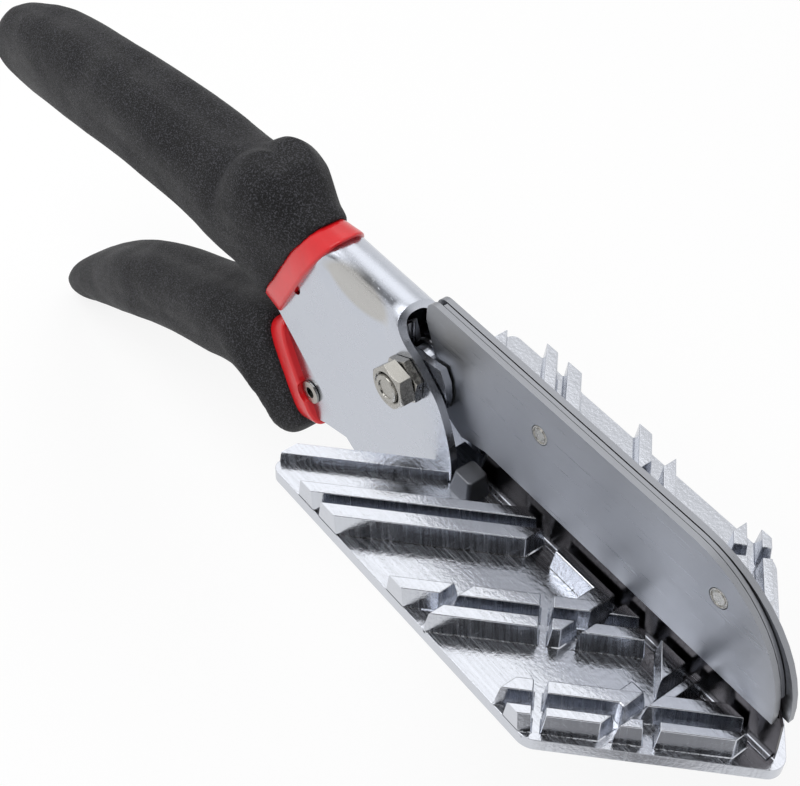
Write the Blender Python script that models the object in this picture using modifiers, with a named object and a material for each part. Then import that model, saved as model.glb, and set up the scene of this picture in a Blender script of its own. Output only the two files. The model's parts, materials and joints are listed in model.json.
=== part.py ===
"""Mitre shears: a chevron base of angle fences, a blade holder that swings over it, and two dipped grips."""

import math

import bmesh
import bpy
from mathutils import Matrix, Vector

MM = 0.001

# General fits
CLEARANCE = 0.3 * MM
OVERRUN = 5 * MM
SUNK = 0.6 * MM
WELD = 0.0006 * MM
ROUND_SIDES = 40
CORNER_STEPS = 6

# Base casting: origin of the whole part is the middle of its underside
BASE_LENGTH = 104.7 * MM
BASE_WIDTH = 62 * MM
PLATE_THICKNESS = 3 * MM
APEX_OVERHANG = 1.25 * MM
BACK_EDGE = 6.1 * MM
APEX_RADIUS = 3 * MM
FRONT_RADIUS = 4 * MM
BACK_RADIUS = 2 * MM
RIB_HEIGHT = 5 * MM
FENCE_HEIGHT = 2.4 * MM
RIB_STOP = 1.1 * MM
RIB_INSET = 0.6 * MM
BLADE_BAR_LENGTH = 13.7 * MM
BLADE_BAR_WIDTH = 2.3 * MM
BOSS_WIDTH = 5.4 * MM
BOSS_TOP_WIDTH = 4.3 * MM
TONGUE_LENGTH = 16 * MM
TONGUE_DEPTH = 18 * MM
NOSE_RIB_STOP = 6.6 * MM

# Places of the fences and of the work slots between them, as shares of the depth of the chevron
FENCE_SHARE = (0.95, 1.0)
LONG_BACK_SHARE = (0.762, 0.804)
LONG_FRONT_SHARE = (0.673, 0.724)
MIDDLE_BACK_SHARE = (0.422, 0.466)
MIDDLE_FRONT_SHARE = (0.34, 0.382)
NOSE_BACK_SHARE = (0.111, 0.155)
NOSE_FRONT_SHARE = (0.032, 0.064)
SQUARE_SLOT_SHARES = ((0.716, 0.745), (0.482, 0.513), (0.265, 0.293))
MITRE_SLOT_SHARES = ((0.714, 0.756), (0.381, 0.43))
NOSE_POCKET_SHARE = 0.245
HOOK_LEG_SHARE = 0.329
FENCE_END_SHARE = 0.18
BAR_START_SHARE = 0.68
BAR_LEG_SHARE = 0.556
BOSS_PLACE_SHARES = (0.972, 0.043)

# Anvil strip let into the base under the blade
ANVIL_LENGTH = 76 * MM
ANVIL_WIDTH = 2 * MM
ANVIL_DEPTH = 1.7 * MM
ANVIL_FRONT = 2.6 * MM

# Main pivot, measured from the underside of the base
PIVOT_X = -42.5 * MM
PIVOT_Z = 20.6 * MM
PIVOT = (PIVOT_X, PIVOT_Z)
BOLT_DIAMETER = 6 * MM
BOLT_PROUD = 0.4 * MM
BOLT_CHAMFER = 0.6 * MM
NUT_ACROSS_FLATS = 9 * MM
NUT_CHAMFER_SLOPE = 1.7
NUT_THICKNESS = 3.1 * MM
JAM_NUT_THICKNESS = 1.9 * MM
BOLT_HEAD_THICKNESS = 4 * MM
NUT_TURN = -20
JAM_NUT_TURN = 2

# Upper handle: a pressed channel outside everything that swings
OUTER_WIDTH = 11.4 * MM
OUTER_WALL = 1.6 * MM
OUTER_REACH = 100 * MM
OUTER_DEPTH = 50 * MM
RIDGE_HEIGHT = 32 * MM
SHOULDER_DROP = 6 * MM
SOCKET_MIDDLE_SHARE = 0.1
TOOLING_HOLE_DIAMETER = 2.6 * MM
TOOLING_HOLE_SHARES = ((-0.374, -0.088),)

# Outline of the upper channel from the pivot, x as shares of its reach and z as shares of its depth
FOOT_SHARES = ((0.225, -0.418), (0.142, -0.418))
FRONT_EDGE_SHARES = (
    (0.139, -0.27),
    (0.125, -0.162),
    (0.103, -0.062),
    (0.079, 0.008),
    (0.047, 0.056),
    (0.019, 0.1),
    (-0.013, 0.132),
    (-0.041, 0.166),
    (-0.057, 0.198),
    (-0.065, 0.25),
)
TOP_EDGE_SHARES = (
    (-0.315, 0.25),
    (-0.415, 0.185),
    (-0.555, 0.12),
    (-0.975, 0.0),
)
TAIL_SHARES = (
    (-0.995, -0.045),
    (-0.995, -0.19),
    (-0.975, -0.232),
    (-0.555, -0.242),
    (-0.495, -0.252),
    (-0.447, -0.28),
    (-0.44, -0.33),
    (-0.199, -0.694),
    (-0.165, -0.732),
    (-0.055, -0.772),
    (0.105, -0.772),
    (0.185, -0.692),
    (0.225, -0.592),
)
# Half section of the upper channel: y as shares of the half width, drop from the ridge as shares of the
# shoulder
OUTER_SECTION_SHARES = ((0.0, 0.0), (0.26, 0.03), (0.48, 0.16), (0.65, 0.42), (1.0, 1.0))

# Lower handle: a pressed channel that turns between the walls of the upper one
INNER_WIDTH = 7.6 * MM
INNER_WALL = 1.5 * MM
INNER_DEPTH = 60 * MM
INNER_FRONT_RADIUS = 9 * MM
# Arm of the lower channel from the pivot, x as shares of the way to the grip and z as shares of its depth
ARM_TOP_SHARES = ((0.157, 0.098), (-0.083, 0.063), (-1.047, -0.385))
ARM_BOTTOM_SHARES = ((-0.93, -0.752), (-0.703, -0.682), (-0.512, -0.642))
# Tang inside the lower grip: distance along the grip, and half depth as shares of the channel's depth
LOWER_TANG_SHARES = ((0.11, 0.11), (0.38, 0.092), (0.405, 0.065))
INNER_FRONT_ANGLES = (-44, -22, 0, 22)

# Grips and collars: soft coating over the tangs
GRIP_WIDTH = 24.6 * MM
GRIP_SIDES = 28
STATION_STEPS = 3
UPPER_GRIP_LENGTH = 136 * MM
UPPER_GRIP_START = 40.3 * MM
LOWER_GRIP_LENGTH = 116.5 * MM
LOWER_GRIP_START = 42.5 * MM
UPPER_COLLAR_WIDTH = 4.4 * MM
LOWER_COLLAR_WIDTH = 5 * MM
COLLAR_STEP = 0.4 * MM

# Rows: distance along the grip (share of its length), height from the pivot and half depth (shares of the
# depth of the handle that it covers), half width (share of GRIP_WIDTH), forward lean in degrees, squareness
# of the section below its middle and above it
UPPER_GRIP_SHARES = (
    (0.0, -0.05, 0.355, 0.31, 29, 5.0, 2.6),
    (0.04, -0.038, 0.368, 0.36, 28, 3.2, 2.2),
    (0.085, -0.019, 0.397, 0.42, 26, 2.4, 2.0),
    (0.13, -0.013, 0.403, 0.44, 22, 2.3, 2.0),
    (0.175, -0.038, 0.333, 0.45, 14, 2.3, 2.2),
    (0.225, -0.054, 0.275, 0.43, 8, 2.3, 2.3),
    (0.3, -0.058, 0.256, 0.415, 3, 2.3, 2.3),
    (0.465, -0.102, 0.25, 0.385, -8, 2.2, 2.2),
    (0.61, -0.166, 0.256, 0.38, -12, 2.2, 2.2),
    (0.75, -0.266, 0.253, 0.36, -17, 2.2, 2.2),
    (0.88, -0.381, 0.24, 0.33, -21, 2.1, 2.1),
    (0.95, -0.467, 0.192, 0.27, -24, 2.1, 2.1),
    (0.985, -0.525, 0.122, 0.17, -26, 2.0, 2.0),
)
LOWER_GRIP_SHARES = (
    (0.0, -0.584, 0.227, 0.25, -31, 4.5, 4.5),
    (0.055, -0.667, 0.28, 0.4, -23, 2.6, 2.6),
    (0.11, -0.64, 0.213, 0.45, -23, 2.4, 2.4),
    (0.178, -0.648, 0.168, 0.44, -28, 2.4, 2.4),
    (0.309, -0.757, 0.157, 0.4, -30, 2.3, 2.3),
    (0.475, -0.896, 0.155, 0.37, -31, 2.2, 2.2),
    (0.648, -1.093, 0.152, 0.35, -35, 2.2, 2.2),
    (0.822, -1.355, 0.125, 0.29, -41, 2.2, 2.2),
    (0.932, -1.541, 0.088, 0.2, -42, 2.1, 2.1),
    (0.985, -1.616, 0.048, 0.11, -43, 2.0, 2.0),
)

# Blade holder: two cheeks riveted over the blade
HOLDER_LENGTH = 91.7 * MM
HOLDER_HEIGHT = 24.6 * MM
HOLDER_LIFT = 10.6 * MM
HOLDER_FRONT = 3.6 * MM
HOLDER_PLATE = 1.25 * MM
HOLDER_GAP = 1.2 * MM
NOSE_RADIUS = 23.7 * MM
FAR_NOSE_GROWTH = 1.5 * MM
HOLDER_REAR_RADIUS = 2.6 * MM
TANG_LENGTH = 29 * MM
TANG_ANGLE = 225.4
TANG_FORWARD = 9 * MM
TANG_BACKWARD = 4.5 * MM
TANG_NECK = 11.8 * MM
HEEL_RUN = 6.8 * MM
WINDOW_RADIUS = 5.9 * MM
GATE_WIDTH = 9.4 * MM
GATE_LENGTH = 13 * MM
GATE_ANGLE = 114
NOTCH_DEPTH = 1.9 * MM
NOTCH_ANGLES = (-48, 8)
NOTCH_STEPS = 8
NOSE_STEPS = 12

# Blade
BLADE_LENGTH = 77.3 * MM
BLADE_THICKNESS = 0.7 * MM
BLADE_DEPTH = 30 * MM
BLADE_LIFT = 0.3 * MM
BLADE_EDGE = 2.6 * MM
BLADE_PROUD = 1.9 * MM
BLADE_EDGE_THICKNESS = 0.12 * MM
BLADE_SHARES = (
    (0.03, 0.27),
    (0.03, 0.95),
    (0.07, 1.0),
    (0.72, 1.0),
    (0.86, 0.84),
    (0.94, 0.56),
    (0.99, 0.31),
)

# Rivets, pins and bushes
HOLDER_RIVET_DIAMETER = 3.8 * MM
HOLDER_RIVET_SHARES = ((0.35, 0.67), (0.824, 0.68))
TANG_RIVET_DIAMETER = 3.4 * MM
TANG_RIVET_SHARES = ((0.38, 0.0), (0.86, 0.45))
BASE_RIVET_DIAMETER = 4 * MM
BASE_RIVET_HEAD = 7 * MM
BASE_RIVET_HEAD_THICKNESS = 1.2 * MM
BASE_RIVET_SHARES = ((-0.26, 0.62), (0.26, 0.62))
BUSH_WALL = 1 * MM
SPRING_WIRE = 0.9 * MM
SPRING_TURNS = 1.375
SPRING_PITCH = 1.35 * MM
SPRING_POINTS = 20
SPRING_UPPER_LEG = 8.2 * MM
SPRING_LOWER_LEG = 5 * MM

# Catch that locks the handles together
CATCH_PIVOT_DISTANCE = 48.9 * MM
CATCH_RADIUS = 29.8 * MM
CATCH_THICKNESS = 1.6 * MM
CATCH_ARM_WIDTH = 4.4 * MM
CATCH_EYE_RADIUS = 4.6 * MM
CATCH_HEAD_RADIUS = 3.8 * MM
CATCH_TAIL_LENGTH = 19 * MM
CATCH_REST_ANGLE = 72
CATCH_LOCKED_ANGLE = 96
CATCH_TAIL_ANGLE = 4
CATCH_PIN_DIAMETER = 3 * MM
CATCH_PIN_RECESS = 0.7 * MM
HOLLOW_RIVET_DIAMETER = 4 * MM
HOLLOW_RIVET_FLANGE = 5.4 * MM
HOLLOW_RIVET_BORE = 2.6 * MM
FLANGE_THICKNESS = 0.6 * MM
WASHER_DIAMETER = 7.2 * MM

# Values that follow from the ones above
TIP_X = BASE_LENGTH / 2
BACK_X = -BASE_LENGTH / 2
APEX_X = TIP_X + APEX_OVERHANG
HALF_BASE = BASE_WIDTH / 2
NOTCH_X = BACK_X + HALF_BASE - BACK_EDGE
CHEVRON_DEPTH = APEX_X - NOTCH_X
OUTER_HALF = OUTER_WIDTH / 2
DRILL_REACH = OUTER_WIDTH + OVERRUN
OUTER_INSIDE = OUTER_HALF - OUTER_WALL
INNER_HALF = INNER_WIDTH / 2
INNER_INSIDE = INNER_HALF - INNER_WALL
HOLDER_HALF = HOLDER_GAP / 2 + HOLDER_PLATE
HOLDER_FRONT_X = TIP_X - HOLDER_FRONT
HOLDER_REAR_X = HOLDER_FRONT_X - HOLDER_LENGTH
HOLDER_BOTTOM_Z = PLATE_THICKNESS + HOLDER_LIFT
HOLDER_TOP_Z = HOLDER_BOTTOM_Z + HOLDER_HEIGHT
BOLT_RADIUS = BOLT_DIAMETER / 2
BUSH_INNER = BOLT_RADIUS + CLEARANCE
BUSH_RADIUS = BUSH_INNER + BUSH_WALL
TONGUE_HALF = OUTER_INSIDE - CLEARANCE
UPPER_GRIP = (UPPER_GRIP_SHARES, UPPER_GRIP_LENGTH, UPPER_GRIP_START, OUTER_DEPTH)
LOWER_GRIP = (LOWER_GRIP_SHARES, LOWER_GRIP_LENGTH, LOWER_GRIP_START, INNER_DEPTH)


def parts_collection():
    return bpy.data.collections["mitre_shears"]


def cutters_collection():
    return bpy.data.collections["cutters"]


def start():
    """Empty scene with one collection for the parts and one for the cutters."""
    for obj in list(bpy.data.objects):
        bpy.data.objects.remove(obj, do_unlink=True)
    for name in ("mitre_shears", "cutters"):
        collection = bpy.data.collections.new(name)
        bpy.context.scene.collection.children.link(collection)
    cutters_collection().hide_render = True


def finish_material(name, colour, metallic, roughness):
    """Plain surface with one colour given as red, green and blue."""
    material = bpy.data.materials.new(name)
    material.use_nodes = True
    shader = material.node_tree.nodes["Principled BSDF"]
    shader.inputs["Base Color"].default_value = (*colour, 1.0)
    shader.inputs["Metallic"].default_value = metallic
    shader.inputs["Roughness"].default_value = roughness
    return material


def add_object(name, mesh):
    obj = bpy.data.objects.new(name, mesh)
    cutters_collection().objects.link(obj)
    obj.display_type = "WIRE"
    obj.hide_render = True
    return obj


def as_part(obj, name, material, parent=None):
    """Turn a worked solid into a named part."""
    cutters_collection().objects.unlink(obj)
    parts_collection().objects.link(obj)
    obj.name = name
    obj.data.name = name
    obj.display_type = "TEXTURED"
    obj.hide_render = False
    obj.data.materials.clear()
    obj.data.materials.append(material)
    if parent is not None:
        obj.parent = parent
        obj.matrix_parent_inverse = Matrix.Translation(parent.location).inverted()
    return obj


def filled_outline(name, points, half_thickness, matrix):
    """Flat outline thickened both ways, as a closed mesh in world places."""
    curve = bpy.data.curves.new(name, "CURVE")
    curve.dimensions = "2D"
    curve.fill_mode = "BOTH"
    curve.extrude = half_thickness
    spline = curve.splines.new("POLY")
    spline.points.add(len(points) - 1)
    for point, place in zip(spline.points, points):
        point.co = (place[0], place[1], 0, 1)
    spline.use_cyclic_u = True
    holder = bpy.data.objects.new(name, curve)
    bpy.context.scene.collection.objects.link(holder)
    bpy.context.view_layer.update()
    graph = bpy.context.evaluated_depsgraph_get()
    mesh = bpy.data.meshes.new_from_object(holder.evaluated_get(graph))
    bpy.data.objects.remove(holder, do_unlink=True)
    mesh.transform(matrix)
    shape = bmesh.new()
    shape.from_mesh(mesh)
    bmesh.ops.remove_doubles(shape, verts=shape.verts, dist=WELD)
    bmesh.ops.recalc_face_normals(shape, faces=shape.faces)
    shape.to_mesh(mesh)
    shape.free()
    return add_object(name, mesh)


def side_plate(name, points, y_from, y_to):
    """Outline in x and z, thickened along y."""
    middle = (y_from + y_to) / 2
    turn = Matrix.Rotation(math.radians(90), 4, "X")
    place = Matrix.Translation((0, middle, 0)) @ turn
    return filled_outline(name, points, abs(y_to - y_from) / 2, place)


def floor_slab(name, points, z_from, z_to):
    """Outline in x and y, thickened along z."""
    place = Matrix.Translation((0, 0, (z_from + z_to) / 2))
    return filled_outline(name, points, abs(z_to - z_from) / 2, place)


def end_plate(name, points, x_from, x_to):
    """Outline in y and z, thickened along x."""
    turn = Matrix.Rotation(math.radians(90), 4, "Z") @ Matrix.Rotation(math.radians(90), 4, "X")
    place = Matrix.Translation(((x_from + x_to) / 2, 0, 0)) @ turn
    return filled_outline(name, points, abs(x_to - x_from) / 2, place)


def rod(name, place, radius, y_from, y_to, sides=ROUND_SIDES, turn=0, end_radius=None):
    """Round or many-sided bar along y, centred on a place in x and z."""
    shape = bmesh.new()
    if end_radius is None:
        end_radius = radius
    bmesh.ops.create_cone(
        shape,
        cap_ends=True,
        segments=sides,
        radius1=radius,
        radius2=end_radius,
        depth=y_to - y_from,
    )
    mesh = bpy.data.meshes.new(name)
    shape.to_mesh(mesh)
    shape.free()
    turned = Matrix.Rotation(math.radians(-90), 4, "X") @ Matrix.Rotation(math.radians(turn), 4, "Z")
    mesh.transform(Matrix.Translation((place[0], (y_from + y_to) / 2, place[1])) @ turned)
    return add_object(name, mesh)


def box(name, low, high):
    shape = bmesh.new()
    bmesh.ops.create_cube(shape, size=1)
    mesh = bpy.data.meshes.new(name)
    shape.to_mesh(mesh)
    shape.free()
    size = [b - a for a, b in zip(low, high)]
    middle = [(a + b) / 2 for a, b in zip(low, high)]
    mesh.transform(Matrix.Translation(middle) @ Matrix.Diagonal((*size, 1)))
    return add_object(name, mesh)


def combine(target, operation, others):
    for other in others:
        modifier = target.modifiers.new(other.name, "BOOLEAN")
        modifier.operation = operation
        modifier.solver = "EXACT"
        modifier.object = other
    return target


def cut(target, *others):
    return combine(target, "DIFFERENCE", others)


def join(target, *others):
    return combine(target, "UNION", others)


def keep_within(target, *others):
    return combine(target, "INTERSECT", others)


def mirrored(obj):
    """Add the same solid on the far side of the blade."""
    modifier = obj.modifiers.new("far_side", "MIRROR")
    modifier.use_axis = (False, True, False)
    modifier.use_mirror_merge = False
    return obj


def rounded(points, radii):
    """Outline with arcs in place of the corners whose radius isn't zero."""
    out = []
    count = len(points)
    for index, radius in enumerate(radii):
        corner = Vector(points[index])
        if radius == 0:
            out.append(tuple(corner))
            continue
        before = (Vector(points[index - 1]) - corner).normalized()
        after = (Vector(points[(index + 1) % count]) - corner).normalized()
        half = before.angle(after) / 2
        centre = corner + (before + after).normalized() * (radius / math.sin(half))
        first = corner + before * (radius / math.tan(half)) - centre
        last = corner + after * (radius / math.tan(half)) - centre
        start_angle = math.atan2(first.y, first.x)
        sweep = math.atan2(last.y, last.x) - start_angle
        sweep = (sweep + math.pi) % (2 * math.pi) - math.pi
        for step in range(CORNER_STEPS + 1):
            angle = start_angle + sweep * step / CORNER_STEPS
            out.append((centre.x + radius * math.cos(angle), centre.y + radius * math.sin(angle)))
    return out


def clipped(points, along_x, along_y, limit):
    """The part of an outline where along_x * x + along_y * y is no more than the limit."""
    out = []
    for index, point in enumerate(points):
        last = points[index - 1]
        last_over = along_x * last[0] + along_y * last[1] - limit
        over = along_x * point[0] + along_y * point[1] - limit
        if (last_over > 0) != (over > 0):
            part = last_over / (last_over - over)
            out.append((last[0] + (point[0] - last[0]) * part, last[1] + (point[1] - last[1]) * part))
        if over <= 0:
            out.append(point)
    return out


def placed(shares, length, depth, origin):
    """Shares turned into places from an origin."""
    return [(origin[0] + x * length, origin[1] + z * depth) for x, z in shares]


def polar(origin, distance, degrees):
    angle = math.radians(degrees)
    return (origin[0] + distance * math.cos(angle), origin[1] + distance * math.sin(angle))


def strip_outline(origin, angle, start, end, width):
    """Corners of a straight strip that runs from an origin at an angle."""
    points = []
    for along, across in ((start, -width / 2), (end, -width / 2), (end, width / 2), (start, width / 2)):
        points.append(polar(polar(origin, along, angle), across, angle + 90))
    return points


def on_tang(along, forward):
    """Place on the line from the pivot down the lower handle, and off it towards the front."""
    place = polar(PIVOT, along, TANG_ANGLE)
    return polar(place, forward, TANG_ANGLE + 90)


def catch_pivot():
    return on_tang(CATCH_PIVOT_DISTANCE, 0)


def catch_pin_place():
    """Where the catch's mouth is when it is swung up and latched."""
    return polar(catch_pivot(), CATCH_RADIUS, CATCH_LOCKED_ANGLE)


def from_apex(share):
    """x at a share of the chevron's depth behind its apex."""
    return APEX_X - share * CHEVRON_DEPTH


def rib_outline(band, limits):
    """Slanted band on the near half of the base, clipped by half planes."""
    near = -HALF_BASE + RIB_INSET
    points = []
    for share, y in ((band[0], near), (band[0], -RIB_STOP), (band[1], -RIB_STOP), (band[1], near)):
        points.append((from_apex(share) + y, y))
    for along_x, along_y, limit in limits:
        points = clipped(points, along_x, along_y, limit)
    return points


def behind(share):
    """Half plane behind a square slot's edge."""
    return (1, 0, from_apex(share))


def ahead(share):
    """Half plane in front of a square slot's edge."""
    return (-1, 0, -from_apex(share))


def behind_mitre(share):
    """Half plane behind the edge of a slot that crosses the ribs."""
    return (1, 1, from_apex(share))


def ahead_mitre(share):
    """Half plane in front of the edge of a slot that crosses the ribs."""
    return (-1, -1, -from_apex(share))


def legs_outline():
    """Legs that turn a rib into an L or a hook beside the blade."""
    edge = -RIB_STOP
    slot_front = SQUARE_SLOT_SHARES[2]
    mitre_front = MITRE_SLOT_SHARES[1]
    nose_drop = (NOSE_BACK_SHARE[0] + NOSE_BACK_SHARE[1]) / 2 * CHEVRON_DEPTH
    bar_start = from_apex(BAR_START_SHARE)
    bar_end = bar_start + BLADE_BAR_LENGTH
    leg_start = from_apex(BAR_LEG_SHARE)
    leg_foot = leg_start - from_apex(MIDDLE_BACK_SHARE[1])
    pocket = from_apex(NOSE_POCKET_SHARE)
    slot_end = from_apex(slot_front[0])
    hook = from_apex(HOOK_LEG_SHARE)
    hook_end = from_apex(slot_front[1])
    hook_top = from_apex(mitre_front[1]) - hook_end
    hook_foot = hook - APEX_X + nose_drop
    mitre_end = from_apex(mitre_front[0])
    return [
        corners(bar_start, edge, bar_end, edge - BLADE_BAR_WIDTH),
        corners(leg_start, edge, bar_end, leg_foot),
        [
            (slot_end, edge),
            (pocket, edge),
            (pocket, pocket - APEX_X + nose_drop),
            (slot_end, slot_end - APEX_X + nose_drop),
        ],
        corners(hook, hook_top, hook_end, hook_foot),
        [(mitre_end - edge, edge), (hook_end, edge), (hook_end, mitre_end - hook_end)],
    ]


def corners(x_from, y_from, x_to, y_to):
    return [(x_from, y_from), (x_to, y_from), (x_to, y_to), (x_from, y_to)]


def rib_outlines():
    """Every full-height fence of the near half."""
    slot_back, slot_middle, slot_front = SQUARE_SLOT_SHARES
    mitre_back, mitre_front = MITRE_SLOT_SHARES
    inner_y = (0, 1, -RIB_STOP)
    runs = [
        (LONG_BACK_SHARE, [inner_y]),
        (LONG_FRONT_SHARE, [behind(slot_back[1])]),
        (MIDDLE_BACK_SHARE, [behind(slot_back[1])]),
        (MIDDLE_BACK_SHARE, [ahead(slot_back[0]), behind_mitre(mitre_back[1])]),
        (MIDDLE_BACK_SHARE, [ahead_mitre(mitre_back[0]), behind(slot_middle[1])]),
        (MIDDLE_BACK_SHARE, [ahead(slot_middle[0]), inner_y]),
        (MIDDLE_FRONT_SHARE, [ahead(slot_back[0]), behind_mitre(mitre_back[1])]),
        (MIDDLE_FRONT_SHARE, [ahead_mitre(mitre_back[0]), behind(slot_middle[1])]),
        (MIDDLE_FRONT_SHARE, [ahead(slot_middle[0]), behind_mitre(mitre_front[1])]),
        (NOSE_BACK_SHARE, [ahead(slot_middle[0]), behind_mitre(mitre_back[1])]),
        (NOSE_BACK_SHARE, [ahead_mitre(mitre_back[0]), behind(slot_front[1])]),
        (NOSE_BACK_SHARE, [ahead(slot_front[0]), inner_y]),
        (NOSE_FRONT_SHARE, [behind_mitre(mitre_back[1])]),
        (NOSE_FRONT_SHARE, [ahead_mitre(mitre_back[0]), behind(slot_front[1])]),
        (NOSE_FRONT_SHARE, [ahead(slot_front[0]), behind_mitre(mitre_front[1])]),
        (NOSE_FRONT_SHARE, [ahead_mitre(mitre_front[0]), (1, 0, TIP_X - NOSE_RIB_STOP)]),
    ]
    return [rib_outline(band, limits) for band, limits in runs] + legs_outline()


def base_plate():
    points = [
        (APEX_X, 0),
        (APEX_X - HALF_BASE, HALF_BASE),
        (BACK_X, HALF_BASE),
        (BACK_X, HALF_BASE - BACK_EDGE),
        (NOTCH_X, 0),
        (BACK_X, -HALF_BASE + BACK_EDGE),
        (BACK_X, -HALF_BASE),
        (APEX_X - HALF_BASE, -HALF_BASE),
    ]
    radii = (APEX_RADIUS, FRONT_RADIUS, BACK_RADIUS, 0, 0, 0, BACK_RADIUS, FRONT_RADIUS)
    return floor_slab("plate", rounded(points, radii), 0, PLATE_THICKNESS)


def base_casting():
    """Chevron plate with its fences, its tongue between the handle's walls, and the grooves cut in it."""
    casting = base_plate()
    rib_top = PLATE_THICKNESS + RIB_HEIGHT
    for number, points in enumerate(rib_outlines()):
        rib = mirrored(floor_slab(f"fence_{number}", points, PLATE_THICKNESS - SUNK, rib_top))
        join(casting, rib)
    fence_end = (0, 1, -FENCE_END_SHARE * HALF_BASE)
    low = rib_outline(FENCE_SHARE, [fence_end, (-1, 0, -BACK_X)])
    fence_top = PLATE_THICKNESS + FENCE_HEIGHT
    join(casting, mirrored(floor_slab("low_fence", low, PLATE_THICKNESS - SUNK, fence_top)))
    join(casting, mirrored(boss()))
    tongue_front = NOTCH_X + TONGUE_LENGTH / 2
    tongue_back = NOTCH_X - TONGUE_LENGTH / 2
    tongue = box(
        "tongue",
        (tongue_back, -TONGUE_HALF, PLATE_THICKNESS - TONGUE_DEPTH),
        (tongue_front, TONGUE_HALF, PLATE_THICKNESS),
    )
    join(casting, tongue)
    slot = box(
        "wall_slot",
        (BACK_X - OVERRUN, TONGUE_HALF, -OVERRUN),
        (NOTCH_X + CLEARANCE, OUTER_HALF + CLEARANCE, rib_top + OVERRUN),
    )
    cut(casting, mirrored(slot))
    groove_half = ANVIL_WIDTH / 2 + CLEARANCE
    groove = box(
        "anvil_groove",
        (anvil_back() - CLEARANCE, -groove_half, PLATE_THICKNESS - ANVIL_DEPTH - CLEARANCE),
        (anvil_back() + ANVIL_LENGTH + CLEARANCE, groove_half, PLATE_THICKNESS + OVERRUN),
    )
    cut(casting, groove)
    for number, place in enumerate(base_rivet_places()):
        radius = BASE_RIVET_DIAMETER / 2 + CLEARANCE
        cut(casting, rod(f"rivet_hole_{number}", place, radius, -DRILL_REACH, DRILL_REACH))
    return casting


def anvil_back():
    return TIP_X - ANVIL_FRONT - ANVIL_LENGTH


def boss():
    """Small tapered block beside the heel of the blade."""
    back_share, side_share = BOSS_PLACE_SHARES
    shape = bmesh.new()
    bmesh.ops.create_cone(
        shape,
        cap_ends=True,
        segments=4,
        radius1=BOSS_WIDTH / math.sqrt(2),
        radius2=BOSS_TOP_WIDTH / math.sqrt(2),
        depth=RIB_HEIGHT + SUNK,
    )
    mesh = bpy.data.meshes.new("boss")
    shape.to_mesh(mesh)
    shape.free()
    middle = (
        from_apex(back_share),
        -side_share * CHEVRON_DEPTH,
        PLATE_THICKNESS + (RIB_HEIGHT - SUNK) / 2,
    )
    mesh.transform(Matrix.Translation(middle) @ Matrix.Rotation(math.radians(45), 4, "Z"))
    return add_object("boss", mesh)


def base_rivet_places():
    """Two places in the tongue, under the plate."""
    return placed(BASE_RIVET_SHARES, TONGUE_LENGTH, -TONGUE_DEPTH, (NOTCH_X, PLATE_THICKNESS))


def outer_section(name, grow):
    """Solid with the upper channel's section, open below, running the length of the handle."""
    shoulder = SHOULDER_DROP + grow
    points = []
    for width_share, drop_share in OUTER_SECTION_SHARES:
        points.append((width_share * (OUTER_HALF + grow), RIDGE_HEIGHT + grow - drop_share * shoulder))
    points.append((OUTER_HALF + grow, -OUTER_DEPTH))
    left = [(-y, z) for y, z in reversed(points) if y > 0]
    reach_back = PIVOT_X - OUTER_REACH - OVERRUN
    return end_plate(name, points + left, reach_back, PIVOT_X + OUTER_REACH)


def outer_outline():
    shares = FOOT_SHARES + FRONT_EDGE_SHARES + TOP_EDGE_SHARES + TAIL_SHARES
    return placed(shares, OUTER_REACH, OUTER_DEPTH, PIVOT)


def outer_inside_outline():
    """Space between the walls: everything below the top edge less one wall."""
    low = PIVOT_Z - OUTER_DEPTH
    high = PIVOT_Z + OUTER_DEPTH
    top = placed(TOP_EDGE_SHARES, OUTER_REACH, OUTER_DEPTH, (PIVOT_X, PIVOT_Z - OUTER_WALL))
    points = [(PIVOT_X + OUTER_REACH, low), (PIVOT_X + OUTER_REACH, high), (top[0][0], high)]
    points += top[1:]
    points.append((PIVOT_X - OUTER_REACH - OVERRUN, top[-1][1]))
    points.append((PIVOT_X - OUTER_REACH - OVERRUN, low))
    return points


def upper_handle_channel():
    """Outer channel: a side outline given the section of the pressing, hollowed by one wall."""
    channel = side_plate("upper_channel", outer_outline(), -DRILL_REACH, DRILL_REACH)
    keep_within(channel, outer_section("upper_section", 0))
    space = side_plate("upper_space", outer_inside_outline(), -DRILL_REACH, DRILL_REACH)
    keep_within(space, outer_section("upper_space_section", -OUTER_WALL))
    cut(channel, space)
    hole = BOLT_RADIUS + CLEARANCE
    cut(channel, rod("pivot_hole", PIVOT, hole, -DRILL_REACH, DRILL_REACH))
    for number, place in enumerate(base_rivet_places()):
        radius = BASE_RIVET_DIAMETER / 2 + CLEARANCE
        cut(channel, rod(f"wall_rivet_hole_{number}", place, radius, -DRILL_REACH, DRILL_REACH))
    tooling_hole = placed(TOOLING_HOLE_SHARES, OUTER_REACH, OUTER_DEPTH, PIVOT)[0]
    cut(channel, rod("tooling_hole", tooling_hole, TOOLING_HOLE_DIAMETER / 2, -DRILL_REACH, DRILL_REACH))
    pin_hole = CATCH_PIN_DIAMETER / 2 + CLEARANCE
    cut(channel, rod("pin_hole", catch_pin_place(), pin_hole, -DRILL_REACH, DRILL_REACH))
    return channel


def tang_line(side):
    """Edge of the lower tang, above or below the middle of the grip that covers it."""
    shares, length, start, depth = LOWER_GRIP
    points = []
    for along, half_depth in LOWER_TANG_SHARES:
        before = max(row for row in shares if row[0] <= along)
        after = min(row for row in shares if row[0] > along)
        part = (along - before[0]) / (after[0] - before[0])
        height = before[1] + (after[1] - before[1]) * part
        points.append((PIVOT_X - start - along * length, PIVOT_Z + (height + side * half_depth) * depth))
    return points


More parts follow.
